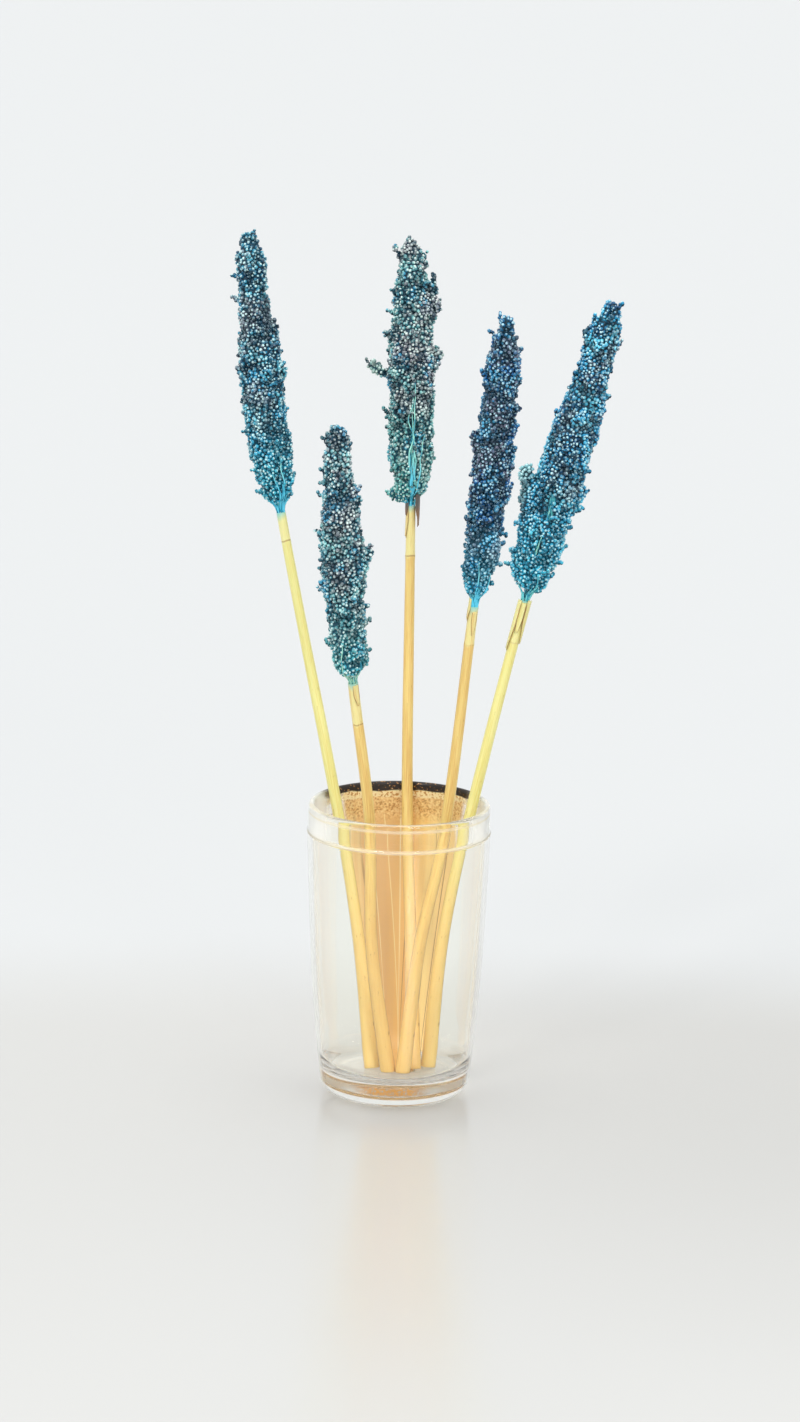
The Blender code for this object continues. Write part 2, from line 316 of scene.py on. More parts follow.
@dataclass(frozen=True)
class DyedGrain(Finish):
    """Glossy dyed seeds, each with its own tone and a painted tip highlight, in dark husks and painted
    shade.
    """

    deep: Colour
    middle: Colour
    bright: Colour
    pale: Colour
    # pale is a painted highlight, mixed onto each seed's tip.
    dull: Colour
    azure: Colour = srgb(48, 156, 200)
    dull_from: float = 0.66
    azure_from: float = 0.56
    base_glow: Colour = srgb(60, 200, 222)
    # The husks' dark, near the base and above it, also stands in as painted shade at seeds' feet and in
    # crevices.
    husk_and_shade: Colour = srgb(4, 46, 66)
    low_husk_and_shade: Colour = srgb(6, 100, 124)
    sprig: Colour = srgb(168, 200, 186)
    glow_reach: float = 0.5
    tone_patches: float = 80.0
    azure_patches: float = 62.0
    dull_patches: float = 48.0
    wrinkles: float = 1400.0
    wrinkle_depth: float = 0.06 * MM
    roughness: float = 0.16
    husk_roughness: float = 0.56
    specular: float = 0.4
    coat: float = 0.12
    coat_roughness: float = 0.06

    def paint(self, graph: Graph) -> None:
        """Mixes seed tones, husks, painted shade, painted tip highlights and the brighter dye near the
        head's base.

        Args:
            graph: The material's nodes.
        """
        place = graph.place()
        tone, rise, along, valley, outward = graph.attributes("tone", "rise", "along", "valley", "outward")
        other_tone = graph.math("FRACT", tone * 7.0)
        swing = (graph.noise(place, self.tone_patches, 2.0) - 0.5) * 2.2
        shade = graph.math("ADD", tone * 0.5 + 0.22, swing, clamp=True)
        colour = graph.ramp(shade, (0.1, self.deep), (0.5, self.middle), (0.95, self.bright))
        bluer = graph.noise(place, self.azure_patches, 2.0)
        bluer = graph.band(bluer, self.azure_from, self.azure_from + 0.08)
        colour = graph.mix(bluer * 0.75, colour, self.azure)
        worn = graph.noise(place, self.dull_patches, 3.0) + other_tone * 0.22
        colour = graph.mix(graph.band(worn, self.dull_from, self.dull_from + 0.1) * 0.8, colour, self.dull)
        near_base = graph.band(along, self.glow_reach, 0.0)
        colour = graph.mix(near_base * (other_tone * 0.4 + 0.3), colour, self.base_glow)
        colour = graph.mix(outward * 0.6, colour, self.sprig)
        # Painted highlight: each seed's tip is mixed towards the pale colour.
        tip = graph.band(rise, 0.77, 0.95) * (other_tone * 0.6 + 0.45)
        colour = graph.mix(tip, colour, self.pale)
        # Seeds' feet and the crevices between bundles take the husks' dark: real husks and painted shade.
        husk_and_foot_shade = graph.band(rise, 0.5, 0.26) * (outward * -0.5 + 1.0)
        husk_and_crevice_shade = graph.most(husk_and_foot_shade, valley * 0.92)
        colour = graph.mix(husk_and_crevice_shade, colour, graph.mix(near_base, self.husk_and_shade, self.low_husk_and_shade))
        roughness = husk_and_foot_shade * (self.husk_roughness - self.roughness) + self.roughness
        graph.shade(Base_Color=colour, Roughness=roughness, Specular_IOR_Level=self.specular)
        graph.shade(Coat_Weight=self.coat, Coat_Roughness=self.coat_roughness)
        graph.bump(graph.noise(place, self.wrinkles, 2.0), self.wrinkle_depth)


@dataclass(frozen=True)
class DyedCore(Finish):
    """What lies between the seeds: dark husks and twigs, the dyed neck and the streaked clefts."""

    neck: Colour
    neck_share: float
    dark: Colour = srgb(3, 34, 50)
    lit: Colour = srgb(14, 76, 98)
    low: Colour = srgb(8, 104, 128)
    cleft: Colour = srgb(30, 140, 170)
    cleft_light: Colour = srgb(110, 214, 210)

    def paint(self, graph: Graph) -> None:
        """Mixes the dark inside, the clefts' streaks and the neck's bright dye.

        Args:
            graph: The material's nodes.
        """
        place = graph.place()
        along, bare = graph.attributes("along", "bare")
        speckle = graph.noise(place, 420.0, 3.0)
        inside = graph.ramp(speckle, (0.35, self.dark), (0.75, self.lit))
        inside = graph.mix(graph.band(along, 0.4, 0.0) * 0.7, inside, self.low)
        streaks = graph.noise(place, 900.0, 2.0, (1.0, 1.0, 0.09))
        streaked = graph.ramp(streaks, (0.4, self.dark), (0.5, self.cleft), (0.62, self.cleft_light))
        colour = graph.mix(graph.band(bare, 0.1, 0.7), inside, streaked)
        neck = graph.mix(graph.band(streaks, 0.5, 0.65), self.neck, self.cleft_light)
        colour = graph.mix(graph.band(along, self.neck_share, self.neck_share * 0.5), colour, neck)
        graph.shade(Base_Color=colour, Roughness=0.6)
        graph.bump(speckle, 0.5 * MM)


@dataclass(frozen=True)
class DyedStrand(Finish):
    """The thin branches at a head's base, whose dye changes from cyan at the neck to mint above."""

    neck: Colour
    above: Colour = srgb(170, 244, 226)
    shadow: Colour = srgb(36, 156, 186)
    reach: float = 36 * MM

    def paint(self, graph: Graph) -> None:
        """Grades and streaks the dye along the strand.

        Args:
            graph: The material's nodes.
        """
        height = graph.parts(graph.lie())[1]
        fibres = graph.noise(graph.place(), 800.0, 2.0, (1.0, 1.0, 0.1))
        colour = graph.mix(graph.band(height, self.reach * 0.3, self.reach), self.neck, self.above)
        colour = graph.mix(graph.band(fibres, 0.52, 0.38), colour, self.shadow)
        graph.shade(Base_Color=colour, Roughness=0.42)
        graph.bump(fibres, 0.15 * MM)


@dataclass(frozen=True)
class Straw(Finish):
    """Dry straw: satin, with lengthwise fibres, brown flecks, a joint and dye at its very top.

    In the glass the straw has painted light, a flatter tone low down, and painted shade where it is seen
    edge-on. joint is how far below the top the joint lies, or 0 where there is none, rim the height at
    which the straw leaves the glass, and edge how brown the long edges of a torn strip are.
    """

    light: Colour
    dark: Colour
    upper: Colour
    length: float
    joint: float = 0.0
    edge: float = 0.0
    # foot is painted light: the flatter tone the straw is given low in the glass.
    foot: Colour = srgb(230, 188, 114)
    joint_strength: float = 0.6
    rim: float = 165 * MM
    dye: Colour = srgb(120, 208, 206)
    fleck_and_edge_shade: Colour = srgb(160, 112, 60)
    roughness: float = 0.42
    specular: float = 0.45
    glow: float = 0.12
    glow_depths: tuple[float, float, float] = (1.5 * MM, 0.9 * MM, 0.4 * MM)

    def paint(self, graph: Graph) -> None:
        """Streaks the straw along its length, which the UV map gives in metres.

        Args:
            graph: The material's nodes.
        """
        lie = graph.lie()
        around, height, _ = graph.parts(lie)
        fibres = graph.noise(lie, 1.0, 4.0, (34.0, 55.0, 1.0))
        bands = graph.noise(lie, 1.0, 2.0, (5.0, 14.0, 1.0))
        marks = graph.noise(lie, 1.0, 3.0, (9.0, 120.0, 1.0))
        streaks = fibres * 0.6 + bands * 0.5
        straw = graph.ramp(streaks, (0.38, self.dark), (0.62, self.light))
        wavy = bands * (8 * MM) + height
        at = self.length - self.joint
        if self.joint:
            paler = graph.mix(0.45, self.dark, self.upper)
            fresh = graph.mix(graph.band(streaks, 0.42, 0.6), paler, self.upper)
            straw = graph.mix(graph.band(wavy, at + 2.5 * MM, at + 5.5 * MM), straw, fresh)
        # Painted light: low in the glass the straw is mixed towards the foot tone.
        low = graph.band(height, self.rim + 10 * MM, self.rim * 0.4)
        straw = graph.mix(low * 0.75, straw, self.foot)
        darkened = graph.band(marks, 0.66, 0.76) * 0.7
        if self.joint:
            beside = abs(bands * (2 * MM) + height - (at + 1 * MM))
            line = graph.band(beside, 0.7 * MM, 0.2 * MM) * graph.band(marks, 0.36, 0.5)
            darkened = graph.most(darkened, line * self.joint_strength)
        if self.edge:
            share = graph.math("FRACT", around * 2.0)
            rims = graph.most(graph.band(share, 0.12, 0.03), graph.band(share, 0.72, 0.84))
            darkened = graph.most(darkened, rims * self.edge)
        # Painted shade: inside the glass the straw darkens where it is seen edge-on.
        in_glass = graph.band(height, self.rim, self.rim - 14 * MM)
        darkened = graph.most(darkened, graph.band(graph.facing(), 0.66, 0.88) * in_glass * 0.9)
        straw = graph.mix(darkened, straw, self.fleck_and_edge_shade)
        top = graph.band(wavy, self.length - 1 * MM, self.length + 5 * MM)
        colour = graph.mix(top * 0.8, straw, self.dye)
        graph.shade(Base_Color=colour, Roughness=self.roughness, Specular_IOR_Level=self.specular)
        graph.shade(Subsurface_Weight=self.glow, Subsurface_Radius=self.glow_depths)
        graph.bump(fibres, 0.12 * MM)


@dataclass(frozen=True)
class Streak:
    """A thin line in the fan's painted reflection; its two ends are shares of the fan's half width, from -1
    to 1.
    """

    at_floor: float
    at_lip: float
    half_width: float
    colour: Colour
    strength: float = 0.8


@dataclass(frozen=True)
class ClearGlass(Finish):
    """Clear glass with painted reflections: an amber fan of straw-like streaks on the rear wall, dark along
    the lip.

    The fan is half_foot wide at height 0 to either side of fan_middle, and half_slope wider for
    each metre up.
    """

    tint: Colour = srgb(255, 255, 251)
    # The fan's colours from left to right: a painted reflection of the straws and their surroundings.
    fan: tuple[tuple[float, Colour], ...] = (
        (0.02, srgb(246, 220, 154)), (0.12, srgb(230, 184, 118)), (0.32, srgb(228, 178, 110)),
        (0.5, srgb(240, 188, 104)), (0.58, srgb(230, 170, 92)), (0.62, srgb(250, 200, 110)),
        (0.8, srgb(252, 222, 144)), (0.98, srgb(250, 214, 140)),
    )
    # Lines in the painted reflection: pale ones, and brown ones that are painted shade between straws.
    streaks: tuple[Streak, ...] = (
        Streak(-0.5, -0.86, 0.03, srgb(132, 90, 44), 0.7),
        Streak(-0.38, -0.6, 0.012, srgb(250, 232, 176)),
        Streak(0.0, -0.36, 0.014, srgb(250, 226, 160)),
        Streak(-0.02, -0.04, 0.018, srgb(255, 240, 186)),
        Streak(0.02, 0.19, 0.012, srgb(140, 88, 38)),
        Streak(0.5, 0.66, 0.014, srgb(146, 98, 44)),
        Streak(0.72, 0.86, 0.014, srgb(150, 102, 46)),
    )
    # Specks below the lip: brown and tan are painted reflection, the brightest is painted caustic light.
    caustic_gold: Colour = srgb(252, 220, 150)
    tan: Colour = srgb(232, 178, 104)
    brown: Colour = srgb(178, 118, 48)
    # rings is the painted highlight of the front rings and the lip.
    rings: Colour = srgb(252, 244, 220)
    highlight_cream: Colour = srgb(250, 232, 180)
    # dark is the rear lip's painted reflection of dark surroundings.
    dark: Colour = srgb(34, 25, 20)
    heel_highlight: Colour = srgb(222, 222, 214)
    heel_reflection: Colour = srgb(224, 160, 76)
    index: float = 1.45
    lip: float = 178.5 * MM
    band_foot: float = 161.5 * MM
    floor: float = 15 * MM
    half_foot: float = 17 * MM
    half_slope: float = 0.12
    fan_middle: float = 2.3 * MM
    fan_strength: float = 0.86
    rim_strength: float = 0.94
    strip_strength: float = 0.85
    heel_strength: float = 0.4
    patch_strength: float = 0.6
    ring_strength: float = 0.3
    edge_strength: float = 0.75
    side_light_strength: float = 0.5

    def painted_reflection(self, graph: Graph, turn: Term, height: Term, fine: Term) -> Term:
        """The fan's painted reflection of the straws: soft strips and thin streaks that run together at the
        foot.

        Args:
            graph: The material's nodes.
            turn: The place across the fan, from -1 to 1.
            height: The height in metres.
            fine: A fine noise.

        Returns:
            The colour, with painted specks of reflection and caustic light below the lip.
        """
        plane = graph.add("ShaderNodeCombineXYZ", X=turn, Y=height)
        strips = graph.noise(plane, 1.0, 1.0, (7.0, 9.0, 1.0))
        fibres = graph.noise(plane, 1.0, 3.0, (60.0, 24.0, 1.0))
        colour = graph.ramp(turn * 0.5 + 0.5 + (strips * 0.24 - 0.12), *self.fan)
        colour = graph.mix(graph.band(fibres, 0.5, 0.7) * 0.3, colour, self.tan)
        climb = (height - self.floor) / (self.lip - self.floor)
        for streak in self.streaks:
            beside = abs(turn - (climb * (streak.at_lip - streak.at_floor) + streak.at_floor))
            line = graph.band(beside, streak.half_width, streak.half_width * 0.4)
            line = line * graph.band(strips, 0.3, 0.5) * streak.strength
            colour = graph.mix(line, colour, streak.colour)
        # Painted reflection and caustic light: brown, tan and bright specks below the lip.
        flecks = graph.ramp(fine, (0.36, self.brown), (0.46, self.tan), (0.64, self.caustic_gold))
        return graph.mix(graph.band(self.lip - height, 27 * MM, 17 * MM) * 0.8, colour, flecks)

    def reflection_area(self, graph: Graph, turn: Term, across: Term, depth: Term, height: Term) -> Term:
        """Where the fan's painted reflection shows: on the rear wall's inside face, and on the floor before
        its foot.

        Args:
            graph: The material's nodes.
            turn: The place across the fan, from -1 to 1.
            across: The place to the right, in metres.
            depth: The place to the back, in metres.
            height: The height in metres.

        Returns:
            The fan's strength.
        """
        low = graph.band(height, 32 * MM, 24 * MM)
        inside = graph.band(abs(low * -0.25 + turn) + low * 0.34, 1.04, 0.92)
        on_floor = graph.band(abs(height - self.floor), 2.6 * MM, 1.6 * MM)
        on_floor = on_floor * graph.band(abs(turn), 0.62, 0.4) * graph.band(depth, -15 * MM, -12 * MM)
        on_wall = graph.band(depth, 12 * MM, 18 * MM) * graph.band(height, 15 * MM, 17 * MM)
        radius = graph.math("SQRT", across * across + depth * depth)
        mid_wall = graph.math("MINIMUM", height * 0.085 + 42.7 * MM, 52.6 * MM)
        inner = graph.band(radius - mid_wall, 0.4 * MM, -0.4 * MM)
        return inside * graph.most(on_wall, on_floor) * inner

    def paint(self, graph: Graph) -> None:
        """Paints reflections on the rear wall, rear lip and heel, and highlights on heel, rings, edges and
        band sides.

        Args:
            graph: The material's nodes.
        """
        place = graph.place()
        across, depth, height = graph.parts(place)
        below = self.lip - height
        fine = graph.noise(place, 760.0, 3.0)
        # The fan: a painted reflection of the straws on the rear wall's inside face and the floor before
        # it.
        turn = (across - self.fan_middle) / (height * self.half_slope + self.half_foot)
        fan = self.reflection_area(graph, turn, across, depth, height)
        colour = graph.mix(fan, self.tint, self.painted_reflection(graph, turn, height, fine))

        # Painted reflection of dark surroundings along the rear lip, with specks, over a pale strip of
        # painted highlight.
        ragged = below + (graph.noise(place, 45.0, 2.0) * (7 * MM) - 3.5 * MM)
        behind = graph.band(depth, 20 * MM, 32 * MM)
        strip = graph.band(ragged, 9.5 * MM, 8 * MM) * behind * graph.band(fine, 0.4, 0.5)
        colour = graph.mix(strip * 0.8, colour, self.highlight_cream)
        rim = graph.band(ragged, 5 * MM, 4.2 * MM) * behind
        speckled = graph.ramp(fine, (0.6, self.dark), (0.68, self.brown), (0.76, self.highlight_cream))
        colour = graph.mix(rim, colour, speckled)

        # Painted highlight on the front heel, with a painted reflection of the straws in its middle.
        heel = graph.band(abs(height - 12 * MM), 3.4 * MM, 1.6 * MM) * graph.band(depth, -8 * MM, -24 * MM)
        colour = graph.mix(heel, colour, self.heel_highlight)
        patch = heel * graph.band(abs(across + 1.8 * MM), 26 * MM, 10 * MM) * graph.band(fine, 0.25, 0.55)
        colour = graph.mix(patch, colour, self.heel_reflection)

        # Painted highlights at the front: the bead, a second ring and the top of the lip.
        bead = graph.band(abs(height - self.band_foot), 1.2 * MM, 0.5 * MM)
        second = graph.band(abs(below - 4.6 * MM), 0.9 * MM, 0.4 * MM)
        rings = graph.most(bead, second, graph.band(below, 1.2 * MM, 0.5 * MM))
        colour = graph.mix(rings * graph.band(depth, 0.0, -8 * MM), colour, self.rings)
        # Painted highlight where the glass is seen edge-on, and painted light on the band's sides.
        edges = graph.band(graph.facing(), 0.6, 0.95)
        painted_side_light = graph.band(abs(across), 36 * MM, 50 * MM) * graph.band(below, 18 * MM, 16.5 * MM)
        solid = graph.most(
            fan * self.fan_strength, rim * self.rim_strength, strip * self.strip_strength,
            heel * self.heel_strength, patch * self.patch_strength, rings * self.ring_strength,
            edges * self.edge_strength, painted_side_light * self.side_light_strength,
        )
        graph.shade(Base_Color=colour, Roughness=graph.most(fan, rim) * 0.3)
        graph.shade(Transmission_Weight=1.0 - solid, IOR=self.index)
        graph.bump(graph.noise(place, 28.0, 1.0), 0.05 * MM)


@dataclass(frozen=True)
class PaleFloor(Finish):
    """A pale, faintly glossy studio sweep: greyer in a band of painted shadow, lighter behind and in front.
    """

    sweep: Colour = srgb(208, 209, 209)
    painted_shadow: Colour = srgb(184, 182, 178)
    front: Colour = srgb(206, 205, 202)

    def paint(self, graph: Graph) -> None:
        """Grades the floor by depth, with the band of painted shadow stronger and sharper to the right.

        Args:
            graph: The material's nodes.
        """
        place = graph.place()
        across, depth, _ = graph.parts(place)
        depth = depth + (graph.noise(place, 3.0, 1.0) * 0.1 - 0.05)
        # Painted shadow: near the tumbler the floor greys, more so to the right.
        near = graph.mix(graph.band(across, -0.2, 0.25) * 0.45 + 0.3, self.front, self.painted_shadow)
        near = graph.mix(graph.band(depth, 0.0, -0.75), near, self.front)
        colour = graph.mix(graph.band(depth, 0.12, 0.36), near, self.sweep)
        graph.shade(Base_Color=colour, Roughness=0.2, Specular_IOR_Level=0.56)


def object_of(name: str, data: bpy.types.ID | None) -> bpy.types.Object:
    """Links a mesh, light or camera into the scene.

    Args:
        name: The object's name.
        data: What it shows.

    Returns:
        The new object.
    """
    made = bpy.data.objects.new(name, data)
    bpy.context.scene.collection.objects.link(made)
    return made


def applied(piece: bpy.types.Object, name: str) -> bpy.types.Object:
    """Turns an object with modifiers into a plain mesh object.

    Args:
        piece: The object, which is removed.
        name: The new object's name.

    Returns:
        The plain object.
    """
    bpy.context.view_layer.update()
    graph = bpy.context.evaluated_depsgraph_get()
    mesh = bpy.data.meshes.new_from_object(piece.evaluated_get(graph))
    bpy.data.objects.remove(piece, do_unlink=True)
    mesh.name = name
    return object_of(name, mesh)


def own(piece: bpy.types.Object, slot: Slot, *nodes: str) -> None:
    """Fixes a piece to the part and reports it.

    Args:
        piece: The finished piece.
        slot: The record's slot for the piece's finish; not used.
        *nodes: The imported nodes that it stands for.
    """
    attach(piece, BODY)
    if nodes:
        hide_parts(*nodes)
    log.info("%s: %d faces", piece.name, len(piece.data.polygons))


def turns(count: int) -> list[float]:
    """Azimuths in radians, evenly spread round a circle."""
    return [math.tau * i / count for i in range(count)]


def catmull_rom(a: Vector, b: Vector, c: Vector, d: Vector, u: float) -> Vector:
    """A point between b and c of the smooth curve through a, b, c and d."""
    bend = (2 * a - 5 * b + 4 * c - d) * u**2
    return 0.5 * (2 * b + (c - a) * u + bend + (3 * b - a - 3 * c + d) * u**3)


def through(points: list[Vector], steps: int) -> list[Vector]:
    """A smooth line through points.

    Args:
        points: The places it passes.
        steps: How many steps each gap between them gets.

    Returns:
        The line's points.
    """
    ends = [points[0] * 2 - points[1], *points, points[-1] * 2 - points[-2]]
    spans = zip(ends, ends[1:], ends[2:], ends[3:])
    return [catmull_rom(*span, step / steps) for span in spans for step in range(steps)] + [points[-1]]


@dataclass(frozen=True)
class Axis:
    """A line that pieces are built round, with the two directions across it."""

    points: list[Vector]

    @property
    def length(self) -> float:
        """The line's length in metres."""
        return sum((b - a).length for a, b in zip(self.points, self.points[1:]))

    def at(self, distance: float) -> tuple[Vector, Vector]:
        """A place on the line.

        Args:
            distance: How far along it is, in metres. Past an end, the line goes straight on.

        Returns:
            The place and the line's direction there.
        """
        left = distance
        for a, b in zip(self.points, self.points[1:]):
            span = (b - a).length
            if left <= span or b is self.points[-1]:
                return a + (b - a) * (left / span), (b - a) / span
            left -= span
        raise ValueError("the line has no points")

    def around(self, distance: float, azimuth: float, radius: float) -> Vector:
        """A place beside the line.

        Args:
            distance: How far along the line it is, in metres.
            azimuth: Where it is round the line: 0 is towards +X, a quarter turn towards +Y.
            radius: How far from the line it is, in metres.

        Returns:
            The place.
        """
        place, direction = self.at(distance)
        across = (RIGHT - direction * direction.x).normalized()
        behind = direction.cross(across)
        return place + (across * math.cos(azimuth) + behind * math.sin(azimuth)) * radius


@dataclass(frozen=True)
class Plant:
    """The line of one stalk and its head, in millimetres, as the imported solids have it.

    foot is where the stalk stands on the tumbler's inside floor, and lean the azimuth in degrees
    at which it leans on the lip. neck and tip are the ends of the head. bend and bow are how far
    the stalk and the head bow to +X.
    """

    number: int
    foot: tuple[float, float]
    lean: float
    neck: tuple[float, float, float]
    tip: tuple[float, float, float]
    bend: float
    bow: float
    foot_height: float = 16.25
    lip_height: float = 178.5
    lip_reach: float = 46.25
    steps: int = 16
    gap: float = 0.35 * MM

    def line(self) -> list[Vector]:
        """The whole line from foot to tip, in metres.

        Returns:
            Its points.
        """
        azimuth = math.radians(self.lean)
        foot = Vector((*self.foot, self.foot_height))
        right, back = self.lip_reach * math.cos(azimuth), self.lip_reach * math.sin(azimuth)
        lip = Vector((right, back, self.lip_height))
        neck, tip = Vector(self.neck), Vector(self.tip)
        inside = (foot + lip) / 2 + RIGHT * self.bend
        middle = (neck + tip) / 2 + RIGHT * self.bow
        return [place * MM for place in through([foot, inside, lip, neck, middle, tip], self.steps)]

    @property
    def stalk(self) -> Axis:
        """The stalk's part of the line.

        Returns:
            The line, which stops a hair short of the head.
        """
        points = self.line()[: 3 * self.steps + 1]
        points[-1] -= (points[-1] - points[-2]).normalized() * self.gap
        return Axis(points)

    @property
    def head(self) -> Axis:
        """The head's part of the line."""
        return Axis(self.line()[3 * self.steps :])


def skin(rings: list[list[Vector]], lies: list[float]) -> bmesh.types.BMesh:
    """Lofts rings into a capped tube with a UV map named lie.

    Args:
        rings: The rings' points, from the foot up.
        lies: Each ring's height along the piece, in metres, for the UV map.

    Returns:
        The tube.
    """
    mesh = bmesh.new()
    uv = mesh.loops.layers.uv.new("lie")
    rows = [[mesh.verts.new(point) for point in ring] for ring in rings]
    sides = len(rows[0])
    for j, (low, high) in enumerate(zip(rows, rows[1:])):
        for i in range(sides):
            following = (i + 1) % sides
            face = mesh.faces.new((low[i], low[following], high[following], high[i]))
            face.smooth = True
            corners = ((i, lies[j]), (i + 1, lies[j]), (i + 1, lies[j + 1]), (i, lies[j + 1]))
            for loop, (side, lie) in zip(face.loops, corners):
                loop[uv].uv = (side / sides, lie)
    for row, lie in ((rows[0][::-1], lies[0]), (rows[-1], lies[-1])):
        for i, loop in enumerate(mesh.faces.new(row).loops):
            loop[uv].uv = (i / sides, lie)
    return mesh


def mesh_from(parts: list[bmesh.types.BMesh], name: str) -> bpy.types.Mesh:
    """Puts several lofts in one mesh, with outward faces.

    Args:
        parts: The lofts, which are freed.
        name: The mesh's name.

    Returns:
        The mesh.
    """
    whole = bmesh.new()
    for part in parts:
        bmesh.ops.recalc_face_normals(part, faces=part.faces)
        loose = bpy.data.meshes.new("loose")
        part.to_mesh(loose)
        part.free()
        whole.from_mesh(loose)
        bpy.data.meshes.remove(loose)
    made = bpy.data.meshes.new(name)
    whole.to_mesh(made)
    whole.free()
    return made


@dataclass
class Tumbler:
    """The clear glass: a thick base, a barrel-shaped wall and a plain band under a rounded lip.

    wall_shape gives shares of the height and of the radius.
    """

    node: str = "glass_tumbler"
    wall: float = 3 * MM
    flat_radius: float = 33 * MM
    heel: float = 12 * MM
    floor: float = 15 * MM
    band: float = 17 * MM
    band_step: float = 0.3 * MM
    bead: float = 0.7 * MM
    lip: float = 1.9 * MM
    steps: int = 144
    wall_shape: tuple[tuple[float, float], ...] = (
        (0.25, 0.888), (0.45, 0.939), (0.66, 0.972), (0.86, 0.998),
    )
    finish: Finish = field(default_factory=lambda: ClearGlass("clear_glass"))

    @staticmethod
    def arc(
        middle: tuple[float, float], radius: float, start: float, end: float, count: int
    ) -> list[Vector]:
        """Lays points on an arc in the section's plane.

        Args:
            middle: The arc's middle.
            radius: Its radius.
            start: The angle of its first point, in degrees.
            end: The angle of its last point, in degrees.
            count: How many steps it has.

        Returns:
            The points.
        """
        x, y = middle
        angles = (math.radians(start + (end - start) * i / count) for i in range(count + 1))
        return [Vector((x + radius * math.cos(t), y + radius * math.sin(t))) for t in angles]

    def section(self) -> list[Vector]:
        """The wall's section, from the inside floor's middle over the lip to the underside's middle.

        Returns:
            Its points, each a radius and a height.
        """
        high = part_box(self.node)[1]
        height, radius = high.z, high.x
        lip_x = radius - self.band_step - self.lip
        band_foot = height - self.band
        barrel = [Vector((radius * share, height * rise)) for rise, share in self.wall_shape]
        heel_top = Vector((self.flat_radius + self.heel, self.heel))
        outer = through([heel_top, *barrel, Vector((radius, band_foot - 1 * MM))], 7)
        inner = [point - Vector((self.wall, 0)) for point in outer if point.y > self.floor + self.heel * 2]
        corner_x = inner[0].x - self.heel - 0.4 * MM
        inside = [Vector((0, self.floor)), Vector((0.5 * corner_x, self.floor))]
        inside += self.arc((corner_x, self.floor + self.heel), self.heel, -90, -6, 8)
        inside += inner + [Vector((lip_x - self.lip, band_foot + 3 * MM))]
        lip = self.arc((lip_x, height - self.lip), self.lip, 180, 0, 12)
        lip.append(Vector((lip_x + self.lip, band_foot + 1.4 * MM)))
        bead = self.arc((radius - 0.3 * MM, band_foot), self.bead, 70, -70, 8)
        heel = self.arc((self.flat_radius, self.heel), self.heel, 0, -90, 12)
        return inside + lip + bead + outer[:0:-1] + heel + [Vector((0, 0))]

    def build(self) -> None:
        """Turns the section round the Z axis and dresses the tumbler."""
        points = self.section()
        mesh = bpy.data.meshes.new("section")
        edges = [(i, i + 1) for i in range(len(points) - 1)]
        mesh.from_pydata([(p.x, 0, p.y) for p in points], edges, [])
        blank = object_of("section", mesh)
        turn = blank.modifiers.new("turn", "SCREW")
        turn.axis = "Z"
        turn.steps = turn.render_steps = self.steps
        turn.use_merge_vertices = turn.use_smooth_shade = True
        turn.merge_threshold = 0.01 * MM
        glass = applied(blank, "tumbler")
        glass.data.materials.clear()
        glass.data.materials.append(self.finish.material())
        glass.visible_shadow = False
        own(glass, Slot.GLASS, self.node)


@dataclass(frozen=True)
class Sheath:
    """A strip of old leaf sheath that clings to a stalk below its head.

    In millimetres and degrees: how far its top is below the stalk's, its length, where it is
    round the stalk, how much of the stalk it wraps, how far off it stands and how far it flares.
    """

    top: float
    length: float
    azimuth: float
    spread: float
    lift: float
    flare: float
    dark: bool = False


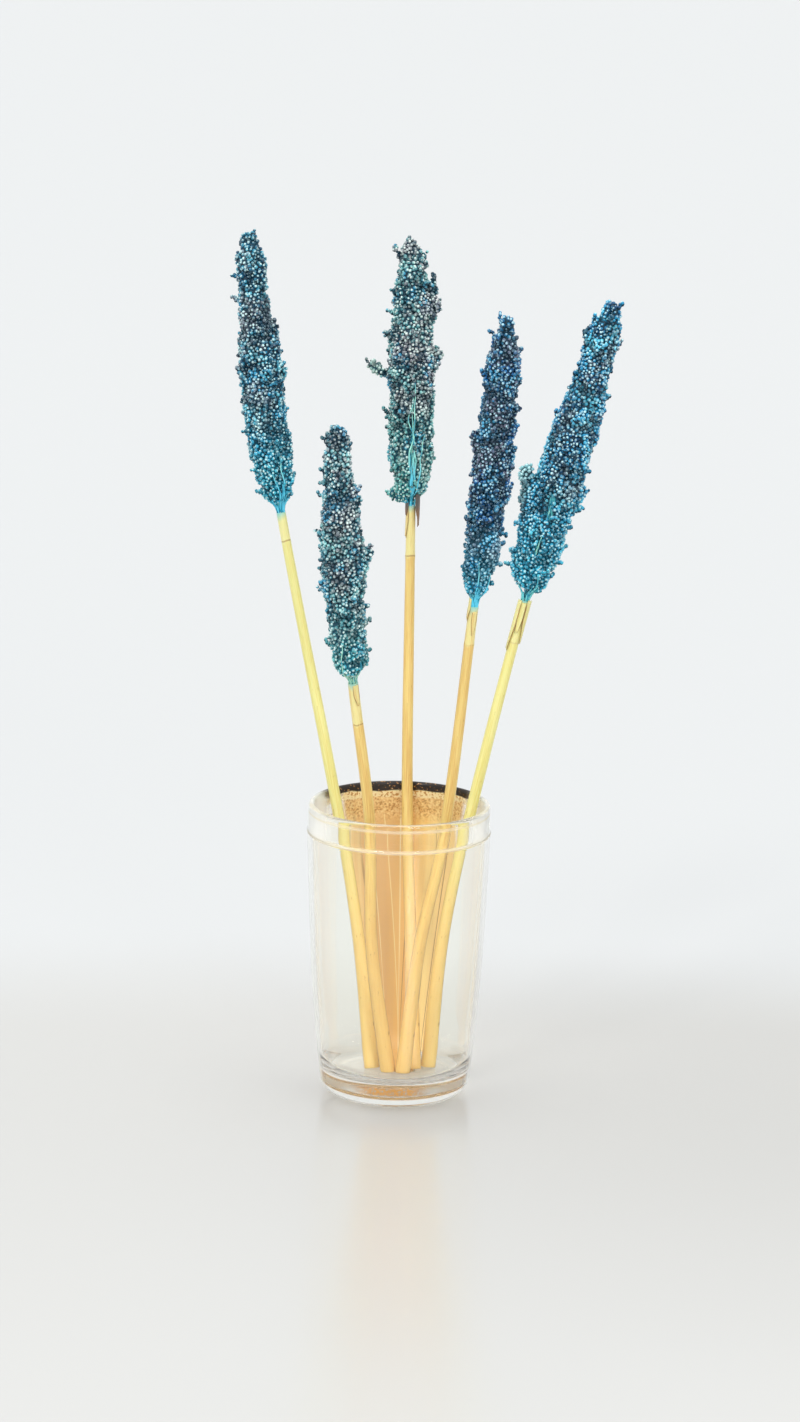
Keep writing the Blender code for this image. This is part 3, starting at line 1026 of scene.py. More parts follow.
@dataclass
class Stalk:
    """A straw stalk round its solid's axis, with faint ribs, rings and scraps of leaf sheath."""

    plant: Plant
    finish: Straw
    sheaths: tuple[Sheath, ...] = ()
    sides: int = 28
    step: float = 3 * MM
    rib_depth: float = 0.07 * MM
    ring_height: float = 0.22 * MM
    ring_width: float = 0.7 * MM
    foot_spread: float = 0.14
    spread_reach: float = 90 * MM
    bevel: float = 0.25 * MM
    foot_radius: float = 4.1 * MM
    rim_radius: float = 3.35 * MM
    neck_radius: float = 2.8 * MM
    rim_height: float = 178.5 * MM
    strip_rows: int = 14
    strip_columns: int = 7
    strip_thickness: float = 0.22 * MM
    tear: float = 2.2 * MM

    def radius_at(self, lie: float, axis: Axis) -> float:
        """The solid's radius at a height along the stalk: slimmer to the lip, slimmest above it.

        Args:
            lie: How far up the stalk it is, in metres.
            axis: The stalk's line.

        Returns:
            The radius in metres.
        """
        rise = axis.at(lie)[0].z / self.rim_height
        radius = self.foot_radius + (self.rim_radius - self.foot_radius) * min(1.0, rise)
        return radius + (self.neck_radius - self.rim_radius) * eased(rise - 1)

    def surface_radius(self, lie: float, turn: float, axis: Axis) -> float:
        """The dressed radius at one place.

        Args:
            lie: How far up the stalk it is, in metres.
            turn: The azimuth in radians.
            axis: The stalk's line.

        Returns:
            The radius in metres.
        """
        radius = self.radius_at(lie, axis)
        radius *= 1 + self.foot_spread * math.cos(2 * turn) * eased(1 - lie / self.spread_reach)
        seed, side, back = self.plant.number * 7.0, math.cos(turn), math.sin(turn)
        ribs = noise.noise(Vector((seed, side * 5, back * 5 + lie * 9)))
        swell = noise.noise(Vector((seed, lie * 28, 0.5 * side)))
        ring = math.exp(-(((axis.length - lie - self.finish.joint) / self.ring_width) ** 2))
        return radius * (0.985 + 0.02 * swell) + ribs * self.rib_depth + ring * self.ring_height

    def ring(self, axis: Axis, lie: float, inset: float = 0.0) -> list[Vector]:
        """A ring of the stalk's surface, drawn in a little for the rims of the cut ends."""
        azimuths = turns(self.sides)
        return [axis.around(lie, turn, self.surface_radius(lie, turn, axis) - inset) for turn in azimuths]

    def tube(self) -> bmesh.types.BMesh:
        """The stalk itself, with slightly rounded cut ends.

        Returns:
            The tube.
        """
        axis = self.plant.stalk
        length = axis.length
        count = round(length / self.step)
        lies = [self.bevel + (length - 2 * self.bevel) * i / count for i in range(count + 1)]
        rims = [self.ring(axis, lie, self.bevel) for lie in (0.0, length)]
        return skin([rims[0], *(self.ring(axis, lie) for lie in lies), rims[1]], [0.0, *lies, length])

    def strip(self, sheath: Sheath) -> bmesh.types.BMesh:
        """One clinging strip, torn at its lower end, as a thin closed plate.

        Args:
            sheath: Its place and size.

        Returns:
            The plate.
        """
        axis = self.plant.stalk
        shares = [j / (self.strip_rows - 1) for j in range(self.strip_rows)]
        lies = [axis.length - sheath.top * MM - sheath.length * MM * (1 - share) for share in shares]
        rings = []
        for share, row_lie in zip(shares, lies):
            torn = 0.35 + 0.65 * eased(share * 1.8)
            outer, inner = [], []
            for i in range(self.strip_columns):
                across = i / (self.strip_columns - 1) - 0.5
                ragged = self.tear * noise.noise(Vector((across * 7, sheath.azimuth, share * 3)))
                lie = row_lie + ragged * (1 - share)
                turn = math.radians(sheath.azimuth) + math.radians(sheath.spread) * across * torn
                curl = sheath.flare * MM * (1 - share) ** 2 + 0.3 * MM * abs(across)
                radius = self.radius_at(lie, axis) + sheath.lift * MM + curl
                outer.append(axis.around(lie, turn, radius))
                inner.append(axis.around(lie, turn, radius - self.strip_thickness))
            rings.append(outer + inner[::-1])
        return skin(rings, lies)

    def build(self) -> None:
        """Builds and dresses the stalk and the strips of sheath on it."""
        number = self.plant.number
        parts = [self.tube(), *(self.strip(sheath) for sheath in self.sheaths)]
        counts = [len(part.faces) for part in parts]
        mesh = mesh_from(parts, f"straw_{number}")
        straw = object_of(mesh.name, mesh)
        plain = replace(self.finish, joint=0.0)
        torn = replace(plain, name=f"torn_sheath_{number}", light=plain.upper, dye=plain.upper, edge=0.85)
        darkened = replace(
            plain, name=f"browned_sheath_{number}",
            light=srgb(158, 116, 78), dark=srgb(82, 70, 60), dye=srgb(88, 92, 92),
        )
        for finish in (self.finish, torn, darkened) if self.sheaths else (self.finish,):
            mesh.materials.append(finish.material())
        first = counts[0]
        for count, sheath in zip(counts[1:], self.sheaths):
            for face in mesh.polygons[first : first + count]:
                face.material_index = 2 if sheath.dark else 1
            first += count
        own(straw, Slot.STRAW, f"stalk_{number}")


@dataclass(frozen=True)
class Opening:
    """A cleft where a head's seeds part and its branches show.

    start and end are shares of the head's length, width and depth are in millimetres, strands is
    how many branches climb it, and fan how many degrees they spread over.
    """

    start: float
    end: float
    azimuth: float
    width: float
    depth: float
    strands: int
    fan: float = 70

    def weight(self, share: float, inside: float) -> tuple[float, float]:
        """How open the cleft is at a place.

        Args:
            share: The place along the head, from 0 to 1.
            inside: How far it is from the cleft's middle, in metres.

        Returns:
            How bare the place is, from 0 to 1, and how deep it sinks, in metres.
        """
        climb = (share - self.start) / (self.end - self.start)
        rounded = 1.0 if self.start <= 0 else eased(climb * 5)
        nearness = 1 - inside / (self.width * MM * (1 - 0.75 * climb))
        bare = eased(nearness * 2) * eased((1 - climb) * 5) * rounded
        return bare, self.depth * MM * bare * (1 - 0.5 * climb)


@dataclass(frozen=True)
class Strand:
    """A thin branch that climbs the head's surface between two shares of its length.

    lift and radius are in millimetres, the azimuths and the sway in degrees.
    """

    start: float
    end: float
    from_azimuth: float
    to_azimuth: float
    lift: float = 0.5
    radius: float = 0.5
    sway: float = 5.0


@dataclass(frozen=True)
class SeedCover:
    """Geometry Nodes that part a head's surface into bundles and cover it with seeds and tufts."""

    radius: float = 1.24 * MM
    spacing: float = 1.7 * MM
    crowding: float = 1.6e6
    tuft_spacing: float = 8 * MM
    tuft_crowding: float = 6.0e4
    tuft_step: float = 0.75 * MM
    tuft_seeds: int = 8
    tuft_spread: float = 0.8 * MM
    sprig_swell: float = 1.2 * MM
    lump_height: float = 2 * MM
    valley: float = 2.4 * MM
    inset: float = 0.5 * MM
    stretch: tuple[float, float, float] = (1.0, 1.0, 0.42)
    lump_scale: float = 170.0
    bend_scale: float = 90.0
    bend: float = 7 * MM
    bundle_scale: float = 105.0
    bundle_edge: float = 0.16
    seed_segments: int = 6
    seed_rings: int = 4
    seed_lift: float = 0.3
    seed_shape: tuple[float, float, float] = (0.86, 1.0, 1.15)
    seed_tilt: float = 0.7
    seed_sizes: tuple[float, float] = (0.75, 1.15)
    low_size: float = 0.6
    low_reach: float = 0.07
    tuft_draw: int = 20
    tuft_stray: float = 0.6
    tuft_sizes: tuple[float, float] = (0.5, 1.15)

    def tree(self, values: dict[str, tuple[str, object]]) -> bpy.types.GeometryNodeTree:
        """Builds the tree.

        Args:
            values: The kind of each of its inputs, by name, with its value.

        Returns:
            The tree.
        """
        tree = bpy.data.node_groups.new("seed_cover", "GeometryNodeTree")
        for name, kind in (("Geometry", "Geometry"), *((name, kind) for name, (kind, _) in values.items())):
            tree.interface.new_socket(name, in_out="INPUT", socket_type=f"NodeSocket{kind}")
        tree.interface.new_socket("Geometry", in_out="OUTPUT", socket_type="NodeSocketGeometry")
        graph = Graph(tree)
        given = graph.add("NodeGroupInput")
        core = self.lumped(graph, given)
        real = graph.geo("RealizeInstances", Geometry=graph.joined(self.seeds(graph, given, core), core))
        cored = graph.geo("SetMaterial", Geometry=real, Material=given["Core_Finish"])
        is_seed = graph.named("is_seed", "BOOLEAN")
        dressed = graph.geo("SetMaterial", Geometry=cored, Selection=is_seed, Material=given["Seed_Finish"])
        graph.add("NodeGroupOutput", Geometry=dressed)
        return tree

    def covered(self, graph: Graph) -> Term:
        """How far a place is covered with seeds: 0 on the neck and in a cleft, else 1."""
        return graph.math("SUBTRACT", 1.0, graph.named("bare"), clamp=True)

    def lumped(self, graph: Graph, given: Term) -> Term:
        """Moves the surface in by the inset, in and out by its lumps, and in along the valleys.

        Args:
            graph: The tree.
            given: Its inputs.

        Returns:
            The core.
        """
        place = graph.geo("InputPosition")
        swing = (graph.noise(place, self.lump_scale, 1.5) - 0.5) * given["Lump_Height"]
        stray = graph.noise(place, self.bend_scale, 1.0)["Color"]
        bend = graph.vector("SCALE", Vector=stray, Scale=self.bend)
        bent = graph.vector("MULTIPLY", a=graph.vector("ADD", a=place, b=bend), b=self.stretch)
        settings = {"feature": "DISTANCE_TO_EDGE"}
        edges = graph.add("ShaderNodeTexVoronoi", settings, Vector=bent, Scale=self.bundle_scale)
        valley = graph.band(edges, self.bundle_edge, 0.0)
        reach = swing - given["Inset"] - valley * given["Valley_Depth"]
        reach = graph.math("MULTIPLY_ADD", graph.named("outward"), self.sprig_swell, reach)
        reach = reach * self.covered(graph)
        offset = graph.vector("SCALE", Vector=graph.geo("InputNormal"), Scale=reach)
        marked = graph.store(given["Geometry"], "valley", valley)
        return graph.geo("SetPosition", Geometry=marked, Offset=offset)

    def one_seed(self, graph: Graph) -> Term:
        """A round seed of unit radius, with its own height stored for its colour.

        The height sets the husks' dark and painted shade low on the seed, and a painted highlight at its
        tip.

        Args:
            graph: The tree.

        Returns:
            The seed.
        """
        ball = graph.geo("MeshUVSphere", Segments=self.seed_segments, Rings=self.seed_rings, Radius=1.0)
        smooth = graph.geo("SetShadeSmooth", Geometry=ball["Mesh"])
        height = graph.parts(graph.geo("InputPosition"))[2]
        risen = graph.store(smooth, "rise", height * 0.5 + 0.5)
        known = graph.store(risen, "is_seed", True, "FACE", "BOOLEAN")
        lift = (0, 0, self.seed_lift)
        return graph.geo("Transform", Geometry=known, Translation=lift, Scale=self.seed_shape)

    def spread(self, graph: Graph, core: Term, spacing: Term, crowding: object, draw: Term) -> Term:
        """Spreads points over the covered surface.

        Args:
            graph: The tree.
            core: The surface.
            spacing: How close two points may be, in metres.
            crowding: How many points a square metre has before the close ones go.
            draw: The seed of the random draw.

        Returns:
            The node's first output, the points.
        """
        return graph.geo(
            "DistributePointsOnFaces", {"distribute_method": "POISSON"}, Mesh=core, Distance_Min=spacing,
            Density_Max=crowding, Density_Factor=self.covered(graph), Seed=draw,
        )

    def seeds(self, graph: Graph, given: Term, core: Term) -> Term:
        """Spreads seeds over the core, no two closer than the spacing.

        Args:
            graph: The tree.
            given: Its inputs.
            core: The surface that they grow on.

        Returns:
            The seeds, each an instance with its own tone.
        """
        draw = given["Draw"]
        spread = self.spread(graph, core, given["Spacing"], given["Crowding"], draw)
        swing = Vector((self.seed_tilt, self.seed_tilt, math.pi))
        tilt = graph.random("FLOAT_VECTOR", -swing, swing, draw)
        turned = graph.add(
            "FunctionNodeRotateRotation", {"rotation_space": "LOCAL"},
            Rotation=spread["Rotation"], Rotate_By=graph.add("FunctionNodeEulerToRotation", Euler=tilt),
        )
        above = graph.band(graph.named("along"), 0.0, self.low_reach)
        grown = graph.math("MULTIPLY_ADD", above, 1 - self.low_size, self.low_size)
        size = graph.random("FLOAT", *self.seed_sizes, draw)["Value"] * grown
        placed = graph.geo(
            "InstanceOnPoints", Points=graph.joined(self.tufts(graph, given, core), spread),
            Instance=self.one_seed(graph), Rotation=turned, Scale=size * given["Seed_Radius"],
        )
        tone = graph.random("FLOAT", 0.0, 1.0, draw, ID=graph.geo("InputIndex"))
        return graph.store(placed, "tone", tone, "INSTANCE")

    def tufts(self, graph: Graph, given: Term, core: Term) -> Term:
        """Small clumps of points that stand out of the surface, headed towards the tip.

        Args:
            graph: The tree.
            given: Its inputs.
            core: The surface that they grow on.

        Returns:
            The points.
        """
        draw = given["Draw"]
        roots = self.spread(graph, core, given["Tuft_Spacing"], self.tuft_crowding, draw + self.tuft_draw)
        stray = graph.random("FLOAT_VECTOR", (-self.tuft_stray,) * 3, (self.tuft_stray,) * 3, draw)
        aim = graph.vector("ADD", a=graph.vector("ADD", a=roots["Normal"], b=stray), b=given["Heading"])
        rows = graph.geo(
            "InstanceOnPoints", Points=roots["Points"], Scale=graph.random("FLOAT", *self.tuft_sizes, draw),
            Instance=graph.geo("MeshLine", Count=self.tuft_seeds, Offset=(0, 0, self.tuft_step)),
            Rotation=graph.add("FunctionNodeAlignRotationToVector", Vector=aim),
        )
        shake = graph.random("FLOAT_VECTOR", (-self.tuft_spread,) * 3, (self.tuft_spread,) * 3, draw)
        real = graph.geo("RealizeInstances", Geometry=rows)
        return graph.geo("MeshToPoints", Mesh=graph.geo("SetPosition", Geometry=real, Offset=shake))

    def grow(
        self, surface: bpy.types.Object, name: str, draw: int, heading: Vector, seed: Finish, core: Finish
    ) -> bpy.types.Object:
        """Covers one surface.

        Args:
            surface: The bare surface, which is used up.
            name: The new piece's name.
            draw: The seed of every random draw.
            heading: The direction from the head's neck to its tip.
            seed: The seeds' finish.
            core: The finish of what lies between them.

        Returns:
            The covered piece, as a plain mesh.
        """
        values = {
            "Seed Radius": ("Float", self.radius), "Spacing": ("Float", self.spacing),
            "Crowding": ("Float", self.crowding), "Tuft Spacing": ("Float", self.tuft_spacing),
            "Lump Height": ("Float", self.lump_height), "Valley Depth": ("Float", self.valley),
            "Inset": ("Float", self.inset), "Heading": ("Vector", heading), "Draw": ("Int", draw),
            "Seed Finish": ("Material", seed.material()), "Core Finish": ("Material", core.material()),
        }
        tree = self.tree(values)
        modifier = surface.modifiers.new("cover", "NODES")
        modifier.node_group = tree
        for item in tree.interface.items_tree:
            if item.in_out == "INPUT" and item.name in values:
                modifier[item.identifier] = values[item.name][1]
        piece = applied(surface, name)
        bpy.data.node_groups.remove(tree)
        return piece


@dataclass
class SeedHead:
    """One dyed seed head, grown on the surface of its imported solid."""

    plant: Plant
    finish: DyedGrain
    openings: tuple[Opening, ...]
    strands: tuple[Strand, ...]
    neck_dye: Colour
    neck_share: float
    branch_dye: Colour
    cover: SeedCover = field(default_factory=SeedCover)
    voxel: float = 1.15 * MM
    smoothing: int = 6
    neck_strands: int = 9
    neck_strand_radius: float = 0.75
    neck_twist: float = 14
    neck_radius: float = 2.3 * MM
    neck_overlap: float = 1.2 * MM
    strand_sides: int = 6
    strand_step: float = 1.6 * MM
    outside: float = 60 * MM
    neck_blend: float = 5 * MM
    sprig_from: float = 16 * MM
    sprig_blend: float = 4 * MM

    def bare_surface(self) -> bpy.types.Object:
        """The solid's surface, welded, remeshed finely and smoothed.

        Returns:
            The surface.
        """
        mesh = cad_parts[f"head_{self.plant.number}"].data.copy()
        mesh.materials.clear()
        work = bmesh.new()
        work.from_mesh(mesh)
        bmesh.ops.remove_doubles(work, verts=work.verts, dist=0.01 * MM)
        work.to_mesh(mesh)
        work.free()
        blank = object_of("bare", mesh)
        remesh = blank.modifiers.new("remesh", "REMESH")
        remesh.mode = "VOXEL"
        remesh.voxel_size = self.voxel
        smooth = blank.modifiers.new("smooth", "SMOOTH")
        smooth.factor = 0.5
        smooth.iterations = self.smoothing
        return applied(blank, "surface")

    def mark(self, surface: bpy.types.Object) -> None:
        """Stores how far along the head, how bare and how far out each point is, and sinks the clefts.

        Args:
            surface: The surface, which is changed.
        """
        axis = self.plant.head
        neck, tip = axis.points[0], axis.points[-1]
        direction = (tip - neck).normalized()
        across = (RIGHT - direction * direction.x).normalized()
        behind = direction.cross(across)
        values = {"along": [], "bare": [], "outward": []}
        for vertex in surface.data.vertices:
            arm = vertex.co - neck
            share = arm.dot(direction) / axis.length
            radial = arm - direction * arm.dot(direction)
            bareness = eased((self.neck_share - share) / 0.01 + 0.5)
            for opening in self.openings:
                middle = math.radians(opening.azimuth)
                heading = across * math.cos(middle) + behind * math.sin(middle)
                if radial.dot(heading) < 0 or not opening.start < share < opening.end:
                    continue
                bare, sunk = opening.weight(share, abs(radial.dot(direction.cross(heading))))
                vertex.co -= heading * sunk
                bareness = max(bareness, bare)
            values["along"].append(share)
            values["bare"].append(bareness)
            values["outward"].append(eased((radial.length - self.sprig_from) / self.sprig_blend))
        for name, numbers in values.items():
            surface.data.attributes.new(name, "FLOAT", "POINT").data.foreach_set("value", numbers)

    def climbers(self) -> list[Strand]:
        """The strands round the neck, those that fan out in the clefts, and the head's own.

        Returns:
            All of them, in order.
        """
        made = []
        for i in range(self.neck_strands):
            azimuth = 360 * i / self.neck_strands
            end = self.neck_share + 0.02 + 0.02 * (i % 2)
            turned = azimuth + self.neck_twist * (i % 3 - 1)
            made.append(Strand(0.0, end, azimuth, turned, radius=self.neck_strand_radius))
        for opening in self.openings:
            for i in range(opening.strands):
                spread = ((i + 0.5) / opening.strands - 0.5) * opening.fan
                end = opening.start + (opening.end - opening.start) * (0.7 + 0.4 * ((i * 5) % 3) / 2)
                azimuth = opening.azimuth
                made.append(Strand(opening.start, end, azimuth + spread, azimuth + spread * 0.45))
        return [*made, *self.strands]

    def path(self, spec: Strand, shell: BVHTree, index: int) -> tuple[list[Vector], list[float]]:
        """The line of one thin branch on the surface.

        Args:
            spec: Where it runs.
            shell: The head's surface.
            index: Its number, which sets how it sways.

        Returns:
            Its points, and how far along the head each is in metres.
        """
        axis = self.plant.head
        count = max(4, round(axis.length * (spec.end - spec.start) / self.strand_step))
        at_neck = spec.start <= 0
        places, lies = [], []
        for share in (j / (count - 1) for j in range(count)):
            lie = axis.length * (spec.start + (spec.end - spec.start) * share)
            if at_neck:
                lie -= self.neck_overlap * (0.6 + 2.2 * ((index * 0.618) % 1)) * (1 - share)
            sway = noise.noise(Vector((index * 3.1, self.plant.number, share * 5)))
            azimuth = spec.from_azimuth + (spec.to_azimuth - spec.from_azimuth) * share
            turn = math.radians(azimuth + spec.sway * sway)
            centre = axis.at(lie)[0]
            far = axis.around(lie, turn, self.outside)
            hit = shell.ray_cast(far, centre - far)[0] or centre
            ends = eased(share * 4) * eased((1 - share) * 4)
            place = hit + (far - centre).normalized() * spec.lift * MM * ends
            if at_neck:
                free = eased((lie - 0.6 * self.neck_share * axis.length) / self.neck_blend)
                place = axis.around(lie, turn, self.neck_radius).lerp(place, free)
            places.append(place)
            lies.append(lie)
        befores, afters = [places[0], *places], [*places[1:], places[-1]]
        return [(a + 2 * b + c) / 4 for a, b, c in zip(befores, places, afters)], lies

    def strand(self, spec: Strand, shell: BVHTree, index: int) -> bmesh.types.BMesh:
        """One thin branch, laid on the surface.

        Args:
            spec: Where it runs.
            shell: The head's surface.
            index: Its number, which sets how it sways.

        Returns:
            The branch as a tapered tube.
        """
        axis = self.plant.head
        places, lies = self.path(spec, shell, index)
        last = len(places) - 1
        rings = []
        for j, place in enumerate(places):
            ahead = places[min(j + 1, last)] - places[max(j - 1, 0)]
            side = ahead.cross(axis.at(lies[j])[0] - place).normalized()
            front = side.cross(ahead).normalized()
            radius = spec.radius * MM * (1.2 - 0.75 * j / last) * (0.3 + 0.7 * eased(j / 2))
            angles = turns(self.strand_sides)
            rings.append([place + (side * math.cos(a) + front * math.sin(a)) * radius for a in angles])
        return skin(rings, lies)

    def build(self) -> None:
        """Builds and dresses the head and the branches that show on it."""
        number = self.plant.number
        surface = self.bare_surface()
        self.mark(surface)
        points = [vertex.co.copy() for vertex in surface.data.vertices]
        shell = BVHTree.FromPolygons(points, [tuple(face.vertices) for face in surface.data.polygons])
        core = DyedCore(f"head_inside_{number}", self.neck_dye, self.neck_share)
        line = self.plant.head.points
        heading = (line[-1] - line[0]).normalized()
        head = self.cover.grow(surface, f"seed_head_{number}", number, heading, self.finish, core)
        own(head, Slot.GRAIN, f"head_{number}")
        strands = [self.strand(spec, shell, i) for i, spec in enumerate(self.climbers())]
        mesh = mesh_from(strands, f"strands_{number}")
        mesh.materials.append(DyedStrand(f"dyed_strand_{number}", self.branch_dye).material())
        own(object_of(mesh.name, mesh), Slot.GRAIN)


@dataclass
class Studio:
    """A pale floor, soft lights and the camera at the photograph's angle."""

    distance: float = 5.0
    pixel: float = 0.6 * MM
    frame_height: int = 1422
    frame_width: int = 800
    pitch: float = 14.0
    roll: float = -1.09
    base_pixel: tuple[float, float] = (394.0, 1090.5)
    sensor: float = 36.0
    around: float = 0.86
    overhead: float = 2.2
    room: Colour = srgb(252, 254, 255)
    floor_size: float = 14.0
    floor_lift: float = 0.05 * MM

    def camera(self) -> None:
        """Places the camera so that the tumbler's foot falls where the photograph has it."""
        pitch, roll = math.radians(self.pitch), math.radians(self.roll)
        back = Vector((0, -math.cos(pitch), math.sin(pitch)))
        upright = back.cross(RIGHT)
        right = RIGHT * math.cos(roll) - upright * math.sin(roll)
        up = RIGHT * math.sin(roll) + upright * math.cos(roll)
        across = (self.base_pixel[0] - self.frame_width / 2) * self.pixel
        down = (self.base_pixel[1] - self.frame_height / 2) * self.pixel
        data = bpy.data.cameras.new("camera")
        data.lens = self.distance / self.pixel / self.frame_height * self.sensor
        data.sensor_width = self.sensor
        data.clip_start, data.clip_end = 0.1, 60.0
        camera = object_of("camera", data)
        place = back * self.distance - right * across + up * down
        camera.matrix_world = Matrix.Translation(place) @ Matrix((right, up, back)).transposed().to_4x4()
        bpy.context.scene.camera = camera

    def light(self, name: str, place: tuple[float, float, float], spread: float, power: float) -> None:
        """Adds a soft distant light.

        Args:
            name: The light's name.
            place: The direction that it comes from.
            spread: How wide it looks, in degrees.
            power: Its strength in watts a square metre.
        """
        data = bpy.data.lights.new(name, "SUN")
        data.angle = math.radians(spread)
        data.energy = power
        object_of(name, data).matrix_world = Vector(place).to_track_quat("Z", "Y").to_matrix().to_4x4()

    def surroundings(self) -> None:
        """A soft white room with a broad bright light straight above."""
        world = bpy.data.worlds.new("studio")
        bpy.context.scene.world = world
        world.use_nodes = True
        graph = Graph(world.node_tree)
        height = graph.parts(graph.add("ShaderNodeTexCoord")["Generated"])[2]
        strength = graph.band(height, 0.8, 0.92) * (self.overhead - self.around) + self.around
        graph.shade("Background", Strength=strength, Color=self.room)

    def floor(self) -> None:
        """Lays the floor a hair above the tumbler's underside, so that no air shows between them."""
        work = bmesh.new()
        bmesh.ops.create_grid(work, x_segments=2, y_segments=2, size=self.floor_size)
        bmesh.ops.translate(work, verts=work.verts, vec=(0, 0, self.floor_lift))
        mesh = bpy.data.meshes.new("floor")
        work.to_mesh(mesh)
        work.free()
        mesh.materials.append(PaleFloor("pale_floor").material())
        object_of("floor", mesh)

    def build(self) -> None:
        """Sets up the whole studio."""
        bpy.context.scene.view_settings.view_transform = "Standard"
        self.camera()
        self.surroundings()
        self.floor()
        self.light("key", (-0.5, -0.85, 0.9), 14, 0.75)
        self.light("window", (0.35, -1.0, 0.4), 14, 0.5)


LEMON = {"light": srgb(241, 234, 156), "dark": srgb(228, 213, 120), "upper": srgb(242, 235, 166)}
TAN = {"light": srgb(241, 211, 130), "dark": srgb(219, 171, 92), "upper": srgb(244, 230, 158)}

PLANTS = (
    Plant(1, (-13.4, -7.0), 147.9, (-74.0, 56.0, 341.7), (-96.1, 87.6, 505.0), 2.5, -2.3),
    Plant(2, (-3.7, -17.0), 247.9, (-28.6, -56.9, 265.9), (-40.3, -82.2, 424.2), -4.0, -1.4),
    Plant(3, (11.4, -8.0), 84.5, (3.5, 83.9, 341.2), (0.5, 120.0, 496.5), 0.0, 0.6),
    Plant(4, (4.8, -20.0), 307.0, (41.3, -56.0, 313.3), (57.2, -81.0, 490.7), -3.0, 0.9),
    Plant(5, (20.0, -2.0), 16.6, (72.3, 24.8, 297.9), (121.1, 41.7, 475.3), -4.2, -0.4),
)


def stalks() -> list[Stalk]:
    """The stalks, each with its tint, its joint in millimetres and its scraps of sheath.

    Returns:
        The stalks in order.
    """
    rows = (
        (LEMON, 17, 0.6, ()),
        (TAN, 26, 0.6, (Sheath(1, 12, -60, 70, 0.15, 0.3),)),
        (TAN, 30, 0.6, (
            Sheath(-9, 21, -24, 70, 2.6, -0.6, dark=True), Sheath(0, 18, 200, 90, 0.2, 0.3),
            Sheath(-2, 7, 215, 60, 0.5, 0.2, dark=True),
        )),
        (TAN, 24, 0.2, (Sheath(-5, 13, 200, 70, 0.3, 0.3), Sheath(3, 14, -70, 60, 0.15, 0.2))),
        (LEMON, 26, 0.2, (
            Sheath(-1, 26, -25, 80, 1.1, -0.3), Sheath(0, 30, 200, 90, 0.9, -0.2),
            Sheath(1, 18, -95, 70, 0.3, 0.4),
        )),
    )
    made = []
    for plant, (tint, joint, strength, scraps) in zip(PLANTS, rows):
        name, length = f"straw_{plant.number}", plant.stalk.length
        straw = Straw(name, length=length, joint=joint * MM, joint_strength=strength, **tint)
        made.append(Stalk(plant, straw, scraps))
    return made


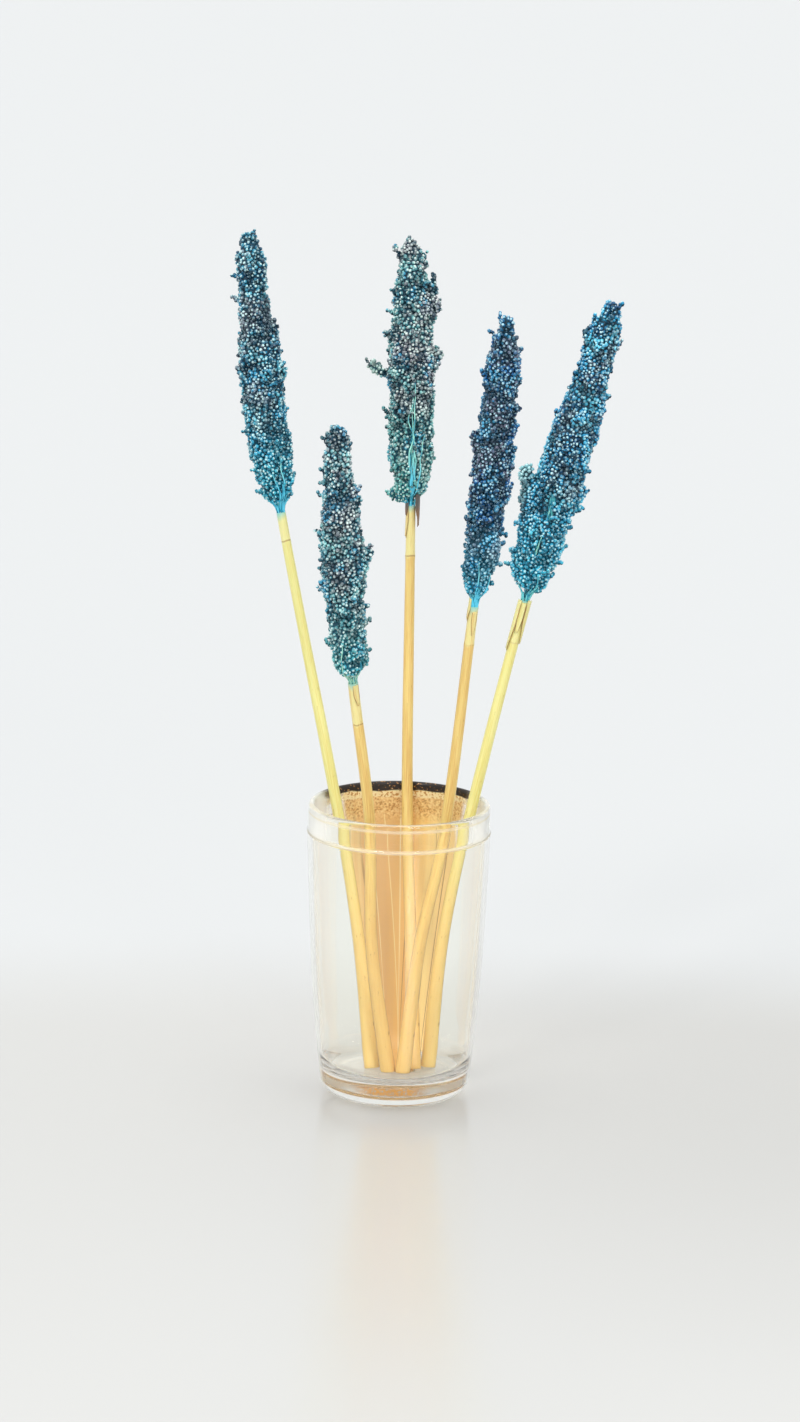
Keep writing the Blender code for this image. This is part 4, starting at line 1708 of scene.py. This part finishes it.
def dyes() -> list[DyedGrain]:
    """One dye for each head, from blue to grey green.

    Returns:
        The dyes in order.
    """
    # A row's tones are deep, middle, bright, the pale painted tip highlight, dull and, for head 4, azure.
    rows = (
        (((8, 66, 98), (50, 136, 166), (106, 198, 216), (214, 250, 248), (138, 142, 150)), {}),
        (
            ((28, 90, 112), (92, 162, 176), (150, 218, 218), (232, 253, 248), (156, 154, 158)),
            {
                "dull_from": 0.62, "azure_from": 0.51,
                "base_glow": srgb(92, 200, 200), "low_husk_and_shade": srgb(14, 84, 94),
            },
        ),
        (
            ((28, 86, 102), (92, 158, 164), (146, 212, 208), (232, 252, 244), (158, 154, 158)),
            {"dull_from": 0.59, "base_glow": srgb(104, 200, 190), "low_husk_and_shade": srgb(8, 68, 72)},
        ),
        (
            ((2, 36, 78), (24, 104, 150), (76, 168, 206), (186, 232, 244), (116, 116, 134), (22, 106, 178)),
            {"dull_from": 0.63, "glow_reach": 0.34},
        ),
        (
            ((6, 74, 120), (46, 160, 206), (106, 218, 244), (208, 250, 252), (136, 146, 156)),
            {"dull_from": 0.69},
        ),
    )
    return [
        DyedGrain(f"dyed_grain_{plant.number}", *(srgb(*tone) for tone in tones), **more)
        for plant, (tones, more) in zip(PLANTS, rows)
    ]


def heads() -> list[SeedHead]:
    """The seed heads: where their seeds part, their stray branches, and the dyes low on them.

    After the clefts and branches, a row has the neck's dye, its share of the head and the branches' dye.

    Returns:
        The heads in order.
    """
    cyan, bright_cyan = srgb(62, 184, 222), srgb(96, 218, 248)
    rows = (
        (
            (Opening(0.0, 0.1, -62, 2.6, 1.2, 4),),
            (Strand(0.02, 0.2, -60, -66, 0.8), Strand(0.02, 0.14, -75, -95, 0.9)),
            cyan, 0.03, bright_cyan,
        ),
        (
            (Opening(0.0, 0.05, -115, 2, 1, 2),),
            (Strand(0.0, 0.17, -120, -112, 1.6), Strand(0.0, 0.1, -70, -50, 1.5)),
            srgb(136, 190, 160), 0.008, srgb(160, 220, 196),
        ),
        (
            (Opening(0.0, 0.34, -86, 1.9, 2.2, 4, fan=24),),
            (
                Strand(0.03, 0.3, -68, -62, 1.6, 0.38, sway=14), Strand(0.12, 0.46, -86, -84, 1.0),
                Strand(0.1, 0.42, -92, -94, 1.0, sway=12),
            ),
            cyan, 0.014, srgb(110, 226, 252),
        ),
        (
            (Opening(0.0, 0.09, -76, 2.6, 1.5, 4),),
            (Strand(0.0, 0.17, -88, -92, 1.4), Strand(0.0, 0.13, -60, -35, 1.4)),
            cyan, 0.045, bright_cyan,
        ),
        (
            (
                Opening(0.0, 0.06, -62, 2.6, 1, 3), Opening(0.14, 0.24, -100, 2.4, 4, 1),
                Opening(0.27, 0.37, -98, 2.4, 4, 1),
            ),
            (Strand(0.0, 0.1, -60, -75, 1.2), Strand(0.15, 0.25, -104, -92, 1.0)),
            srgb(96, 200, 210), 0.01, srgb(120, 222, 226),
        ),
    )
    return [SeedHead(plant, dye, *row) for plant, dye, row in zip(PLANTS, dyes(), rows)]


def main() -> None:
    """Builds every sub-assembly in order."""
    Tumbler().build()
    for stalk, head in zip(stalks(), heads()):
        stalk.build()
        head.build()
    Studio().build()


if __name__ == "__main__":
    main()
